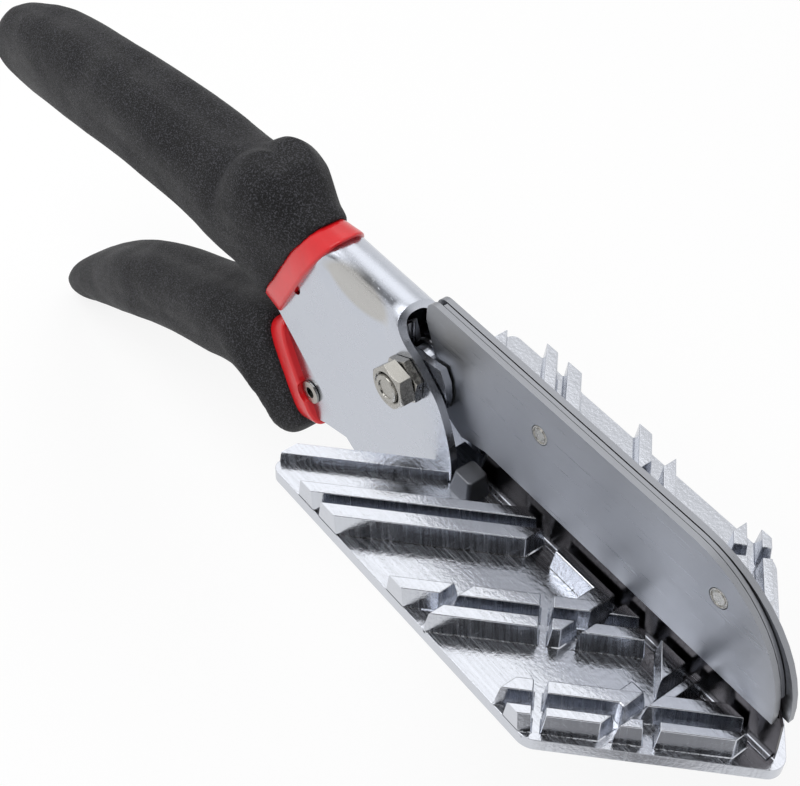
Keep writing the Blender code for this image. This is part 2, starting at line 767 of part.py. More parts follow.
def inner_top():
    return placed(ARM_TOP_SHARES, LOWER_GRIP_START, INNER_DEPTH, PIVOT) + tang_line(1)


def inner_bottom():
    return tang_line(-1)[::-1] + placed(ARM_BOTTOM_SHARES, LOWER_GRIP_START, INNER_DEPTH, PIVOT)


def inner_front():
    return [polar(PIVOT, INNER_FRONT_RADIUS, angle) for angle in INNER_FRONT_ANGLES]


def inner_outline():
    """Lower channel seen from the side: an arm that starts round the pivot and ends as a tang."""
    return inner_top() + inner_bottom() + inner_front()


def inner_space_outline():
    """Space between the lower channel's walls, above its web."""
    high = PIVOT_Z + INNER_DEPTH
    web = [(x, z + INNER_WALL) for x, z in inner_bottom()]
    end = web[0][0] - OVERRUN
    foot = web[-1][1] - INNER_DEPTH
    front = PIVOT_X + INNER_DEPTH
    return [(end, high), (end, web[0][1]), *web, (web[-1][0], foot), (front, foot), (front, high)]


def lower_handle_channel():
    channel = side_plate("lower_channel", inner_outline(), -INNER_HALF, INNER_HALF)
    cut(channel, side_plate("lower_space", inner_space_outline(), -INNER_INSIDE, INNER_INSIDE))
    cut(channel, rod("turning_hole", PIVOT, BOLT_RADIUS + CLEARANCE, -DRILL_REACH, DRILL_REACH))
    radius = HOLLOW_RIVET_DIAMETER / 2 + CLEARANCE
    cut(channel, rod("hollow_rivet_hole", catch_pivot(), radius, -DRILL_REACH, DRILL_REACH))
    for number, place in enumerate(tang_rivet_places()):
        radius = TANG_RIVET_DIAMETER / 2 + CLEARANCE
        cut(channel, rod(f"arm_rivet_hole_{number}", place, radius, -DRILL_REACH, DRILL_REACH))
    return channel


def tang_rivet_places():
    places = []
    for along_share, forward_share in TANG_RIVET_SHARES:
        places.append(on_tang(along_share * TANG_LENGTH, forward_share * TANG_FORWARD))
    return places


def section_ring(centre, half_depth, half_width, lean, squareness, top_squareness):
    """Closed ring of points: a rounded section that leans forward at its top."""
    ring = []
    for side in range(GRIP_SIDES):
        angle = 2 * math.pi * side / GRIP_SIDES
        if angle < math.pi:
            squareness_here = top_squareness
        else:
            squareness_here = squareness
        across = math.copysign(abs(math.cos(angle)) ** (2 / squareness_here), math.cos(angle)) * half_width
        up = math.copysign(abs(math.sin(angle)) ** (2 / squareness_here), math.sin(angle)) * half_depth
        tilt = math.radians(lean)
        ring.append((centre[0] + up * math.sin(tilt), across, centre[1] + up * math.cos(tilt)))
    return ring


def loft(name, rings):
    """Skin over closed rings, with flat ends."""
    shape = bmesh.new()
    rows = [[shape.verts.new(point) for point in ring] for ring in rings]
    for row, after in zip(rows, rows[1:]):
        for index in range(len(row)):
            beside = (index + 1) % len(row)
            shape.faces.new((row[index], row[beside], after[beside], after[index]))
    shape.faces.new(rows[0])
    shape.faces.new(rows[-1])
    bmesh.ops.recalc_face_normals(shape, faces=shape.faces)
    mesh = bpy.data.meshes.new(name)
    shape.to_mesh(mesh)
    shape.free()
    return add_object(name, mesh)


def between(before, start, end, after, part):
    """Smooth value between two stations of a row, led by their neighbours."""
    square = part * part
    cube = square * part
    return 0.5 * (
        2 * start
        + (end - before) * part
        + (2 * before - 5 * start + 4 * end - after) * square
        + (3 * start - before - 3 * end + after) * cube
    )


def grip_stations(shares, length, start, depth):
    """Smooth run of sections: centre, half depth, half width, lean, and squareness below and above."""
    rows = []
    for along, height, half_depth, half_width, *form in shares:
        x = PIVOT_X - start - along * length
        z = PIVOT_Z + height * depth
        rows.append((x, z, half_depth * depth, half_width * GRIP_WIDTH, *form))
    stations = []
    last = len(rows) - 1
    for index in range(last):
        before = rows[max(index - 1, 0)]
        after = rows[min(index + 2, last)]
        for step in range(STATION_STEPS):
            part = step / STATION_STEPS
            group = zip(before, rows[index], rows[index + 1], after)
            stations.append([between(*values, part) for values in group])
    stations.append(list(rows[last]))
    return stations


def coated_grip(name, grip):
    rings = []
    for x, z, *form in grip_stations(*grip):
        rings.append(section_ring((x, z), *form))
    return loft(name, rings)


def coated_collar(name, grip, width):
    """Slanted band in front of a grip, a little smaller than the grip's first section."""
    x, z, half_depth, half_width, *form = grip_stations(*grip)[0]
    tilt = math.radians(form[0])
    rings = []
    for along in (CLEARANCE, CLEARANCE + width):
        centre = (x + along * math.cos(tilt), z - along * math.sin(tilt))
        rings.append(section_ring(centre, half_depth - COLLAR_STEP, half_width - COLLAR_STEP, *form))
    return loft(name, rings)


def upper_socket(name):
    """The upper tang's envelope with clearance, solid inside."""
    points = outer_outline()
    middle = PIVOT_Z - OUTER_DEPTH * SOCKET_MIDDLE_SHARE
    grown = [(x - CLEARANCE, z + math.copysign(CLEARANCE, z - middle)) for x, z in points]
    socket = side_plate(name, grown, -DRILL_REACH, DRILL_REACH)
    keep_within(socket, outer_section(f"{name}_section", CLEARANCE))
    return socket


def lower_socket(name):
    """The lower tang's envelope with clearance, solid inside."""
    above = [(x - CLEARANCE, z + CLEARANCE) for x, z in inner_top()]
    below = [(x - CLEARANCE, z - CLEARANCE) for x, z in inner_bottom() + inner_front()]
    half = INNER_HALF + CLEARANCE
    return side_plate(name, above + below, -half, half)


def hexagon(name, outer_face, inner_face, turn):
    """Six-sided block on the pivot, with the corners of its outer face chamfered to a circle."""
    corner = NUT_ACROSS_FLATS / math.sqrt(3)
    low, high = sorted((outer_face, inner_face))
    block = rod(name, PIVOT, corner, low, high, sides=6, turn=turn)
    face_radius = NUT_ACROSS_FLATS / 2
    widest = face_radius + (high - low) * NUT_CHAMFER_SLOPE
    low_radius, high_radius = (face_radius, widest) if outer_face < inner_face else (widest, face_radius)
    return keep_within(block, rod(f"{name}_chamfer", PIVOT, low_radius, low, high, end_radius=high_radius))


def bored(solid, name, place, radius):
    return cut(solid, rod(name, place, radius, -DRILL_REACH, DRILL_REACH))


def pivot_bolt():
    """Shank through everything, with its head on the far side and a chamfer on the near end."""
    head_from = OUTER_HALF + CLEARANCE
    bolt = hexagon("bolt", head_from + BOLT_HEAD_THICKNESS, head_from, NUT_TURN)
    end = bolt_end()
    reach = head_from + SUNK
    shank = rod("shank", PIVOT, BOLT_RADIUS, end - OVERRUN, head_from + OVERRUN)
    tip_radius = BOLT_RADIUS - BOLT_CHAMFER
    keep_within(shank, rod("chamfer", PIVOT, tip_radius, end, reach, end_radius=tip_radius + reach - end))
    join(bolt, shank)
    return bolt


def jam_nut_face():
    return -OUTER_HALF - CLEARANCE / 2 - JAM_NUT_THICKNESS


def bolt_end():
    return jam_nut_face() - CLEARANCE / 2 - NUT_THICKNESS - BOLT_PROUD


def pivot_nut():
    face = jam_nut_face() - CLEARANCE / 2
    return bored(hexagon("nut", face - NUT_THICKNESS, face, NUT_TURN), "nut_bore", PIVOT, BUSH_INNER)


def jam_nut():
    face = jam_nut_face()
    thin = hexagon("thin_nut", face, face + JAM_NUT_THICKNESS, JAM_NUT_TURN)
    return bored(thin, "thin_bore", PIVOT, BUSH_INNER)


def pivot_bush():
    half = INNER_INSIDE - CLEARANCE
    return bored(rod("bush", PIVOT, BUSH_RADIUS, -half, half), "bush_bore", PIVOT, BUSH_INNER)


def holder_outline(nose):
    """Cheek of the blade holder: long box with a round nose, and a tang down the lower handle."""
    nose_x = HOLDER_FRONT_X - NOSE_RADIUS
    reach = NOSE_RADIUS + nose
    points = []
    for step in range(NOSE_STEPS + 1):
        angle = math.pi / 2 * step / NOSE_STEPS
        points.append((nose_x + reach * math.cos(angle), HOLDER_BOTTOM_Z + HOLDER_HEIGHT * math.sin(angle)))
    corner = (HOLDER_REAR_X, HOLDER_TOP_Z)
    below = (HOLDER_REAR_X, PIVOT_Z + TANG_FORWARD)
    arc = rounded([corner, below, (nose_x, HOLDER_TOP_Z)], (HOLDER_REAR_RADIUS, 0, 0))[: CORNER_STEPS + 1]
    points += arc
    points.append(below)
    points.append(on_tang(0, -TANG_FORWARD))
    points.append(on_tang(WINDOW_RADIUS, -TANG_FORWARD))
    points.append(on_tang(TANG_NECK, -TANG_BACKWARD))
    points.append(on_tang(TANG_LENGTH, -TANG_BACKWARD))
    points.append(on_tang(TANG_LENGTH, TANG_FORWARD))
    points.append(on_tang(0, TANG_FORWARD))
    heel = PIVOT_X + TANG_NECK
    points.append((heel, PIVOT_Z - TANG_FORWARD))
    points.append((heel + HEEL_RUN, HOLDER_BOTTOM_Z))
    return points


def spring_gate(name, y_from, y_to):
    """Way out of the window for the spring's long leg."""
    return side_plate(name, strip_outline(PIVOT, GATE_ANGLE, 0, GATE_LENGTH, GATE_WIDTH), y_from, y_to)


def spring_notch(name, y_from, y_to):
    """Notch in the window's rim, wide enough for the spring's short leg through the whole swing."""
    reach = WINDOW_RADIUS + NOTCH_DEPTH
    points = [PIVOT]
    for step in range(NOTCH_STEPS + 1):
        angle = NOTCH_ANGLES[0] + (NOTCH_ANGLES[1] - NOTCH_ANGLES[0]) * step / NOTCH_STEPS
        points.append(polar(PIVOT, reach, angle))
    return side_plate(name, points, y_from, y_to)


def holder_plate(name, y_from, y_to, nose):
    plate = side_plate(name, holder_outline(nose), y_from, y_to)
    bored(plate, f"{name}_window", PIVOT, WINDOW_RADIUS)
    cut(plate, spring_gate(f"{name}_gate", -DRILL_REACH, DRILL_REACH))
    cut(plate, spring_notch(f"{name}_notch", -DRILL_REACH, DRILL_REACH))
    for number, place in enumerate(holder_rivet_places()):
        bored(plate, f"{name}_rivet_hole_{number}", place, HOLDER_RIVET_DIAMETER / 2 + CLEARANCE / 2)
    for number, place in enumerate(tang_rivet_places()):
        bored(plate, f"{name}_tang_hole_{number}", place, TANG_RIVET_DIAMETER / 2 + CLEARANCE)
    return plate


def holder_rivet_places():
    return placed(HOLDER_RIVET_SHARES, HOLDER_LENGTH, HOLDER_HEIGHT, (HOLDER_REAR_X, HOLDER_BOTTOM_Z))


def holder_spacer():
    """Sheet as thick as the gap, filling the holder behind the blade and round the window."""
    half = HOLDER_GAP / 2 - CLEARANCE / 2
    front = blade_back() - CLEARANCE
    end = TANG_RIVET_SHARES[0][0] * TANG_LENGTH + TANG_RIVET_DIAMETER
    heel = PIVOT_X + TANG_NECK
    points = [
        (front, HOLDER_TOP_Z - HOLDER_REAR_RADIUS / 2),
        (HOLDER_REAR_X + HOLDER_REAR_RADIUS, HOLDER_TOP_Z - HOLDER_REAR_RADIUS / 2),
        (HOLDER_REAR_X + HOLDER_REAR_RADIUS / 2, PIVOT_Z + TANG_FORWARD),
        on_tang(0, -TANG_FORWARD + CLEARANCE),
        on_tang(WINDOW_RADIUS, -TANG_FORWARD + CLEARANCE),
        on_tang(end, -TANG_BACKWARD),
        on_tang(end, TANG_FORWARD - CLEARANCE),
        on_tang(0, TANG_FORWARD - CLEARANCE),
        (heel, PIVOT_Z - TANG_FORWARD + CLEARANCE),
        (front, PIVOT_Z - TANG_BACKWARD),
    ]
    spacer = side_plate("spacer", points, -half, half)
    bored(spacer, "spacer_window", PIVOT, WINDOW_RADIUS)
    cut(spacer, spring_gate("spacer_gate", -DRILL_REACH, DRILL_REACH))
    cut(spacer, spring_notch("spacer_notch", -DRILL_REACH, DRILL_REACH))
    bored(spacer, "spacer_hole", tang_rivet_places()[0], TANG_RIVET_DIAMETER / 2 + CLEARANCE)
    return spacer


def blade_back():
    return HOLDER_FRONT_X + BLADE_PROUD - BLADE_LENGTH


def blade():
    """Sheet blade with a ground edge along its foot."""
    half = BLADE_THICKNESS / 2
    foot = PLATE_THICKNESS + BLADE_LIFT
    back = blade_back()
    points = [(back, foot)]
    points += placed(BLADE_SHARES, BLADE_LENGTH, BLADE_DEPTH, (back, foot))
    points.append((back + BLADE_LENGTH, foot))
    sheet = side_plate("sheet", points, -half, half)
    edge = BLADE_EDGE_THICKNESS / 2
    top = HOLDER_TOP_Z + OVERRUN
    shoulder = foot + BLADE_EDGE
    right = [(edge, foot - edge), (half, shoulder), (HOLDER_GAP, shoulder), (HOLDER_GAP, top)]
    wedge = right + [(-y, z) for y, z in reversed(right)]
    keep_within(sheet, end_plate("ground_edge", wedge, back - OVERRUN, back + BLADE_LENGTH + OVERRUN))
    for number, place in enumerate(holder_rivet_places()):
        bored(sheet, f"blade_hole_{number}", place, HOLDER_RIVET_DIAMETER / 2 + CLEARANCE)
    return sheet


def base_rivet(number, place):
    """Rivet through both walls and the tongue, with a head on each side."""
    radius = BASE_RIVET_DIAMETER / 2
    head = BASE_RIVET_HEAD / 2
    start_y = OUTER_HALF + CLEARANCE
    end_y = start_y + BASE_RIVET_HEAD_THICKNESS
    shank = rod(f"rivet_{number}", place, radius, -start_y - SUNK, start_y + SUNK)
    near = rod(f"near_head_{number}", place, radius, -end_y, -start_y, end_radius=head)
    far = rod(f"far_head_{number}", place, head, start_y, end_y, end_radius=radius)
    return join(shank, near, far)


def hollow_rivet():
    """Tube rivet that carries the catch, flanged on both walls of the lower handle."""
    radius = HOLLOW_RIVET_DIAMETER / 2
    inside = INNER_HALF + CLEARANCE / 2
    outside = inside + FLANGE_THICKNESS
    tube = rod("tube", catch_pivot(), radius, -outside, outside)
    for side in (-1, 1):
        low, high = sorted((side * inside, side * outside))
        join(tube, rod(f"flange_{side}", catch_pivot(), HOLLOW_RIVET_FLANGE / 2, low, high))
    return bored(tube, "tube_bore", catch_pivot(), HOLLOW_RIVET_BORE / 2)


def catch_arm(name, angle, length):
    """Straight strip that leaves the catch's pivot at an angle."""
    half = CATCH_THICKNESS / 2
    points = strip_outline(catch_pivot(), angle, 0, length, CATCH_ARM_WIDTH)
    return side_plate(name, points, -half, half)


def lock_catch():
    """Flat hook on the hollow rivet: its open mouth closes over the pin in the upper handle."""
    half = CATCH_THICKNESS / 2
    head_place = polar(catch_pivot(), CATCH_RADIUS, CATCH_REST_ANGLE)
    catch = catch_arm("catch", CATCH_REST_ANGLE, CATCH_RADIUS)
    join(catch, catch_arm("thumb_tail", CATCH_TAIL_ANGLE, CATCH_TAIL_LENGTH))
    join(catch, rod("catch_eye", catch_pivot(), CATCH_EYE_RADIUS, -half, half))
    join(catch, rod("catch_head", head_place, CATCH_HEAD_RADIUS, -half, half))
    seat = CATCH_PIN_DIAMETER / 2 + CLEARANCE
    bored(catch, "pin_seat", head_place, seat)
    mouth = strip_outline(head_place, CATCH_REST_ANGLE + 90, 0, CATCH_HEAD_RADIUS + OVERRUN, 2 * seat)
    cut(catch, side_plate("mouth", mouth, -DRILL_REACH, DRILL_REACH))
    return bored(catch, "catch_bore", catch_pivot(), HOLLOW_RIVET_DIAMETER / 2 + CLEARANCE)


def spring_places():
    """Wire's path: a leg under the ridge, turns round the bush, and a leg in the holder's notch."""
    radius = BUSH_RADIUS + CLEARANCE + SPRING_WIRE / 2
    start_y = -SPRING_TURNS * SPRING_PITCH / 2
    coil = []
    count = round(SPRING_TURNS * SPRING_POINTS)
    for step in range(count + 1):
        turn = SPRING_TURNS * step / count
        x, z = polar(PIVOT, radius, 180 + 360 * turn)
        coil.append((x, start_y + SPRING_PITCH * turn, z))
    upper_end = (coil[0][0], coil[0][1], coil[0][2] + SPRING_UPPER_LEG)
    last = coil[-1]
    x, z = polar((last[0], last[2]), SPRING_LOWER_LEG, 180 + 360 * SPRING_TURNS + 90)
    return [upper_end, *coil, (x, last[1], z)]


def torsion_spring():
    places = spring_places()
    curve = bpy.data.curves.new("wire", "CURVE")
    curve.dimensions = "3D"
    curve.bevel_depth = SPRING_WIRE / 2
    curve.bevel_resolution = 2
    curve.use_fill_caps = True
    spline = curve.splines.new("POLY")
    spline.points.add(len(places) - 1)
    for point, place in zip(spline.points, places):
        point.co = (*place, 1)
    wire = bpy.data.objects.new("wire", curve)
    cutters_collection().objects.link(wire)
    return wire


def plain_pin(name, place, radius, half):
    return rod(name, place, radius, -half, half)


def catch_washer(name, side):
    """Ring that keeps the catch in the middle of the lower handle."""
    inside = CATCH_THICKNESS / 2 + CLEARANCE / 2
    outside = INNER_INSIDE - CLEARANCE / 2
    low, high = sorted((side * inside, side * outside))
    ring = rod(name, catch_pivot(), WASHER_DIAMETER / 2, low, high)
    return bored(ring, f"{name}_bore", catch_pivot(), HOLLOW_RIVET_DIAMETER / 2 + CLEARANCE / 2)


def empty_at(name, place):
    empty = bpy.data.objects.new(name, None)
    empty.location = (place[0], 0, place[1])
    bpy.context.scene.collection.objects.link(empty)
    return empty


def main_parts():
    start()
    steel = finish_material("zinc_plated_steel", (0.5, 0.52, 0.58), 1.0, 0.35)
    chrome = finish_material("chrome_plated_zinc", (0.6, 0.61, 0.65), 1.0, 0.15)
    brushed = finish_material("brushed_steel", (0.36, 0.38, 0.42), 1.0, 0.4)
    blade_steel = finish_material("blade_steel", (0.2, 0.2, 0.22), 1.0, 0.2)
    nickel = finish_material("dark_nickel", (0.32, 0.3, 0.27), 1.0, 0.3)
    black = finish_material("black_soft_vinyl", (0.03, 0.03, 0.032), 0.0, 0.7)
    red = finish_material("red_vinyl", (0.66, 0.03, 0.03), 0.0, 0.3)
    spring_steel = finish_material("spring_steel", (0.25, 0.25, 0.26), 1.0, 0.35)

    hinge = empty_at("lower_hinge", PIVOT)
    catch_hinge = empty_at("catch_hinge", catch_pivot())
    catch_hinge.parent = hinge
    catch_hinge.matrix_parent_inverse = Matrix.Translation(hinge.location).inverted()

    as_part(base_casting(), "base_casting", chrome)
    strip = box(
        "strip",
        (anvil_back(), -ANVIL_WIDTH / 2, PLATE_THICKNESS - ANVIL_DEPTH),
        (anvil_back() + ANVIL_LENGTH, ANVIL_WIDTH / 2, PLATE_THICKNESS),
    )
    as_part(strip, "anvil_strip", steel)
    as_part(upper_handle_channel(), "upper_handle_channel", steel)
    as_part(lower_handle_channel(), "lower_handle_channel", steel, hinge)

    grip = cut(coated_grip("upper_coat", UPPER_GRIP), upper_socket("upper_grip_socket"))
    as_part(grip, "upper_grip", black)
    collar = coated_collar("upper_band", UPPER_GRIP, UPPER_COLLAR_WIDTH)
    cut(collar, upper_socket("upper_collar_socket"))
    as_part(collar, "upper_collar", red)
    grip = cut(coated_grip("lower_coat", LOWER_GRIP), lower_socket("lower_grip_socket"))
    as_part(grip, "lower_grip", black, hinge)
    collar = coated_collar("lower_band", LOWER_GRIP, LOWER_COLLAR_WIDTH)
    cut(collar, lower_socket("lower_collar_socket"))
    bored(collar, "rivet_room", catch_pivot(), HOLLOW_RIVET_FLANGE / 2 + CLEARANCE)
    as_part(collar, "lower_collar", red, hinge)

    for number, place in enumerate(base_rivet_places(), 1):
        as_part(base_rivet(number, place), f"base_rivet_{number}", nickel)
    as_part(pivot_bolt(), "pivot_bolt", nickel)
    as_part(pivot_nut(), "pivot_nut", nickel)
    as_part(jam_nut(), "jam_nut", nickel)
    as_part(pivot_bush(), "pivot_bush", steel)
    as_part(torsion_spring(), "torsion_spring", spring_steel)
    pin = plain_pin("pin", catch_pin_place(), CATCH_PIN_DIAMETER / 2, OUTER_HALF - CATCH_PIN_RECESS)
    as_part(pin, "catch_pin", nickel)

    inside = HOLDER_GAP / 2
    near = holder_plate("near_cheek", -HOLDER_HALF, -inside, 0)
    as_part(near, "holder_plate_near", brushed, hinge)
    far = holder_plate("far_cheek", inside, HOLDER_HALF, FAR_NOSE_GROWTH)
    as_part(far, "holder_plate_far", brushed, hinge)
    as_part(holder_spacer(), "holder_spacer", brushed, hinge)
    as_part(blade(), "cutting_blade", blade_steel, hinge)
    for name, place in zip(("holder_rivet_rear", "holder_rivet_front"), holder_rivet_places()):
        pin = plain_pin(f"{name}_shank", place, HOLDER_RIVET_DIAMETER / 2, HOLDER_HALF)
        as_part(pin, name, nickel, hinge)
    for number, place in enumerate(tang_rivet_places(), 1):
        half = INNER_HALF - CLEARANCE / 2
        pin = plain_pin(f"tang_shank_{number}", place, TANG_RIVET_DIAMETER / 2, half)
        as_part(pin, f"tang_rivet_{number}", nickel, hinge)
    as_part(hollow_rivet(), "hollow_rivet", nickel, hinge)
    as_part(catch_washer("near_ring", -1), "catch_washer_near", steel, hinge)
    as_part(catch_washer("far_ring", 1), "catch_washer_far", steel, hinge)
    as_part(lock_catch(), "lock_catch", steel, catch_hinge)


main_parts()
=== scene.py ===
"""Mitre shears: cast chevron base, pressed handles with dipped grips, and a riveted blade holder."""

import json
import math

import bmesh
import bpy
from mathutils import Matrix, Vector

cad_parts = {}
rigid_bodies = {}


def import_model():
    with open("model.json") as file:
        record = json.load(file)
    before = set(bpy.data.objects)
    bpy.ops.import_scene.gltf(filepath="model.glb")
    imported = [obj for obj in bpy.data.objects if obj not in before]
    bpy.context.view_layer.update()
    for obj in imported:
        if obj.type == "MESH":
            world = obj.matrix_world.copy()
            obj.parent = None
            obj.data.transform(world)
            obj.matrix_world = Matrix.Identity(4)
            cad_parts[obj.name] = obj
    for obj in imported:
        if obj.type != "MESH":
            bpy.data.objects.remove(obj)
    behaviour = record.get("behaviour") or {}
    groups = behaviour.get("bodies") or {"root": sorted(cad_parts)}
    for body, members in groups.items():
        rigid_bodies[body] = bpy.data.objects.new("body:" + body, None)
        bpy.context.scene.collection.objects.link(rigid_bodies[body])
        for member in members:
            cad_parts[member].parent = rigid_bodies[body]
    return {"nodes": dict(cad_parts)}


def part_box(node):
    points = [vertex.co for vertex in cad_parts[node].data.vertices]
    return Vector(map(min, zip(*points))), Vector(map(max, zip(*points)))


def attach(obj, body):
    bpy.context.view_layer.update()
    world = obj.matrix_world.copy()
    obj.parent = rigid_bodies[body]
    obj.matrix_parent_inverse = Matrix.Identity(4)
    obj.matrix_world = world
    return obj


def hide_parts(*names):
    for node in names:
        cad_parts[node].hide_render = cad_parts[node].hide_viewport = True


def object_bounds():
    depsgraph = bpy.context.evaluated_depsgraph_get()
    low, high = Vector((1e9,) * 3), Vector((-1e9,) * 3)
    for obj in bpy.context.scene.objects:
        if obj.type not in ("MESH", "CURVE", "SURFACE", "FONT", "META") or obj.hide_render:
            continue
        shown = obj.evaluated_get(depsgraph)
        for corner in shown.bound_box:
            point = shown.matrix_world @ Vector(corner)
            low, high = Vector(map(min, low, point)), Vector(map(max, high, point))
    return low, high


bl_info = {
    "name": "Mitre Shears",
    "version": (1, 0, 0),
    "blender": (4, 5, 0),
    "location": "3D View > Sidebar > Mitre Shears",
    "description": "Models the castings, pressings, coatings and fasteners of a pair of mitre shears",
    "category": "Add Mesh",
}

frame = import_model()
CAD_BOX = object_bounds()

MM = 0.001

# Base casting. The origin is the middle of its underside, x runs to the nose and z up.
PLATE_THICKNESS = 3 * MM
PLATE_BACK = -52.35 * MM
APEX = 53.6 * MM
HALF_BASE = 31 * MM
BACK_EDGE = 6.1 * MM
NOTCH = PLATE_BACK + HALF_BASE - BACK_EDGE
CHEVRON = APEX - NOTCH
NEAR_EDGE = -HALF_BASE - MM
BLADE_SIDE = -1.1 * MM
RIB_TOP = 8 * MM
LOW_FENCE_TOP = 5.4 * MM
# Fences, bosses and the tongue start this far inside the plate.
SUNK = 0.6 * MM
FOOT = PLATE_THICKNESS - SUNK
REAR_CORNER = 2 * MM
SIDE_CORNER = 1.7 * MM
NOSE_CORNER = 3 * MM
FILLET_REACH = 0.42 * MM
FILLET_RISE = 0.22 * MM
# How far the fences stop inside the plate's sides and its back
SIDE_TRIM = 0.03 * MM
BACK_TRIM = 0.2 * MM
TONGUE_REACH = 8 * MM
TONGUE_HALF = 3.8 * MM
TONGUE_LOW = -15 * MM
# The plate's slots for the handle's walls: their inner and outer y, and how far they pass the notch
WALL_SLOT = (3.8 * MM, 6 * MM)
SLOT_PAST = 0.3 * MM
GROOVE = ((-26.45 * MM, -1.15 * MM, 1.1 * MM), (49.95 * MM, 1.15 * MM, RIB_TOP))
BOSS = ((-28.1 * MM, -6.9 * MM, FOOT), (-21.9 * MM, -0.7 * MM, RIB_TOP))
BOSS_TAPER = 0.76
BOSS_CORNER = 0.9 * MM

# Fences as shares of the chevron's depth behind its apex: where each one starts and ends
LOW_FENCE = (0.95, 1.0)
LONG_BACK = (0.762, 0.804)
LONG_FRONT = (0.673, 0.724)
MIDDLE_BACK = (0.422, 0.466)
MIDDLE_FRONT = (0.34, 0.382)
NOSE_BACK = (0.111, 0.155)
NOSE_FRONT = (0.032, 0.064)
SQUARE_SLOTS = ((0.716, 0.745), (0.482, 0.513), (0.265, 0.293))
MITRE_SLOTS = ((0.714, 0.756), (0.381, 0.43))
BLADE_BAR = (0.68, 13.7 * MM, 2.3 * MM)
BAR_LEG = 0.556
NOSE_POCKET = 0.245
HOOK_LEG = 0.329
FENCE_END = 0.18
NOSE_LIMIT = 45.75 * MM

# Pivot and the channels' outlines, x and z from the pivot in millimetres
PIVOT = (-42.5 * MM, 20.6 * MM)
CHANNEL_HALF = 5.7 * MM
CHANNEL_WALL = 1.6 * MM
CHANNEL_INSIDE = CHANNEL_HALF - CHANNEL_WALL
RIDGE = 32 * MM
CHANNEL_FOOT = ((22.5, -20.9), (14.2, -20.9))
CHANNEL_FRONT = (
    (13.9, -13.5), (12.5, -8.1), (10.3, -3.1), (7.9, 0.4), (4.7, 2.8),
    (1.9, 5.0), (-1.3, 6.6), (-4.1, 8.3), (-5.7, 9.9), (-6.5, 12.5),
)
CHANNEL_TOP = ((-31.5, 12.5), (-41.5, 9.25), (-55.5, 6.0), (-97.5, 0.0), (-99.5, -2.25), (-99.5, -9.5))
CHANNEL_TAIL = (
    (-97.5, -11.6), (-55.5, -12.1), (-49.5, -12.6), (-44.7, -14.0), (-44.0, -16.5), (-19.9, -34.7),
    (-16.5, -36.6), (-5.5, -38.6), (10.5, -38.6), (18.5, -34.6), (22.5, -29.6),
)
HOLLOW_RIVET = (-34.335, -34.819)
# Holes through both walls and their radii: pivot, tooling hole, catch pin and the base's two rivets
CHANNEL_HOLES = (
    ((0, 0), 3.3),
    ((-37.4, -4.4), 1.3),
    ((-37.45, -5.18), 1.8),
    ((10.89, -28.76), 2.3),
    ((19.21, -28.76), 2.3),
)
# Planes well clear of the channel, where the solids that shape it end
FAR_BACK = PIVOT[0] - 110 * MM
FAR_FRONT = PIVOT[0] + 60 * MM
FAR_BELOW = PIVOT[1] - 60 * MM
FAR_ASIDE = 110 * MM
DENT_CENTRE = Vector((-60.5 * MM, 0, 27.4 * MM))
DENT_HALF_LENGTH = 12 * MM
DENT_HALF_HEIGHT = 2.4 * MM
DENT_PUSH = Vector((0, 0.85, -0.5))
DENT_REAR_FADE = 3.5 * MM
DENT_FRONT_FADE = 4 * MM

# Collars: x and z of the rear rim, half depth, half width, lean, squareness below and above
COLLAR_LEAN = 29
COLLAR_REAR = -82.9 * MM
COLLAR_HEIGHT = 18.1 * MM
COLLAR_WIDTH = 5.3 * MM
# The rear of each band is tucked under the grip: how far, and its size there
COLLAR_TUCK = -2.5 * MM
TUCK_SHARE = 0.93
UPPER_COLLAR = (COLLAR_REAR, COLLAR_HEIGHT, 17.36 * MM, 7.23 * MM, COLLAR_LEAN, 5.0, 2.6)
LOWER_LEAN = -31
LOWER_COLLAR = (-85 * MM, -14.4 * MM, 13.2 * MM, 5.75 * MM, LOWER_LEAN, 4.5, 4.5)
# The upper band is open inside, where the catch swings to its pin.
CATCH_ROOM = ((-100 * MM, -CHANNEL_INSIDE, 7 * MM), (-60 * MM, CHANNEL_INSIDE, 24 * MM))
# Room in the lower band for the catch's rivet on both sides: radius, inner and outer y
RIVET_ROOM = 3 * MM
RIVET_ROOM_ENDS = (3.7 * MM, 10 * MM)

# How far the grips' shoulders stand out along their length, as x and push in millimetres
UPPER_TOP = (
    (-213, -0.8), (-207, 0.5), (-200, 0.8), (-195, 1.3), (-188, 1.6), (-180, 1.3), (-168, 0.8),
    (-161, 0.8), (-154, 1.1), (-146, 1.3), (-139, 1.4), (-130, 1.5), (-118, 1.4), (-112, 1.1),
    (-107, 0.4), (-102.5, -0.5), (-100.5, 0.8), (-98, 2.1), (-94, 2.7), (-89, 2.4), (-85, 1.4),
    (-81, 0.2), (-78, 0),
)
UPPER_BELOW = (
    (-205, -1.2), (-195, -0.6), (-188, -0.3), (-176, 0.4), (-164, 0.8), (-151, 0.8), (-138, 0.6),
    (-130, 0.2), (-117, -0.5), (-108, -1.4), (-100, -1.5), (-93, -0.5), (-88, 0),
)
LOWER_TOP = (
    (-199, 0.4), (-192, 1.0), (-186, 0.6), (-170, 0.7), (-160, 1.0),
    (-150, 1.2), (-138, 1.4), (-119, 1.4), (-100, 0.8), (-88, 0),
)
LOWER_BELOW = (
    (-192, -0.8), (-182, -0.9), (-172, -0.3), (-160, 0.7), (-150, 1.1), (-137, 1.2), (-124, 0.8),
    (-112, 0.5), (-103, -0.4), (-96, -1.6), (-91, -1.6), (-87, 0.4), (-82, 0.8),
)

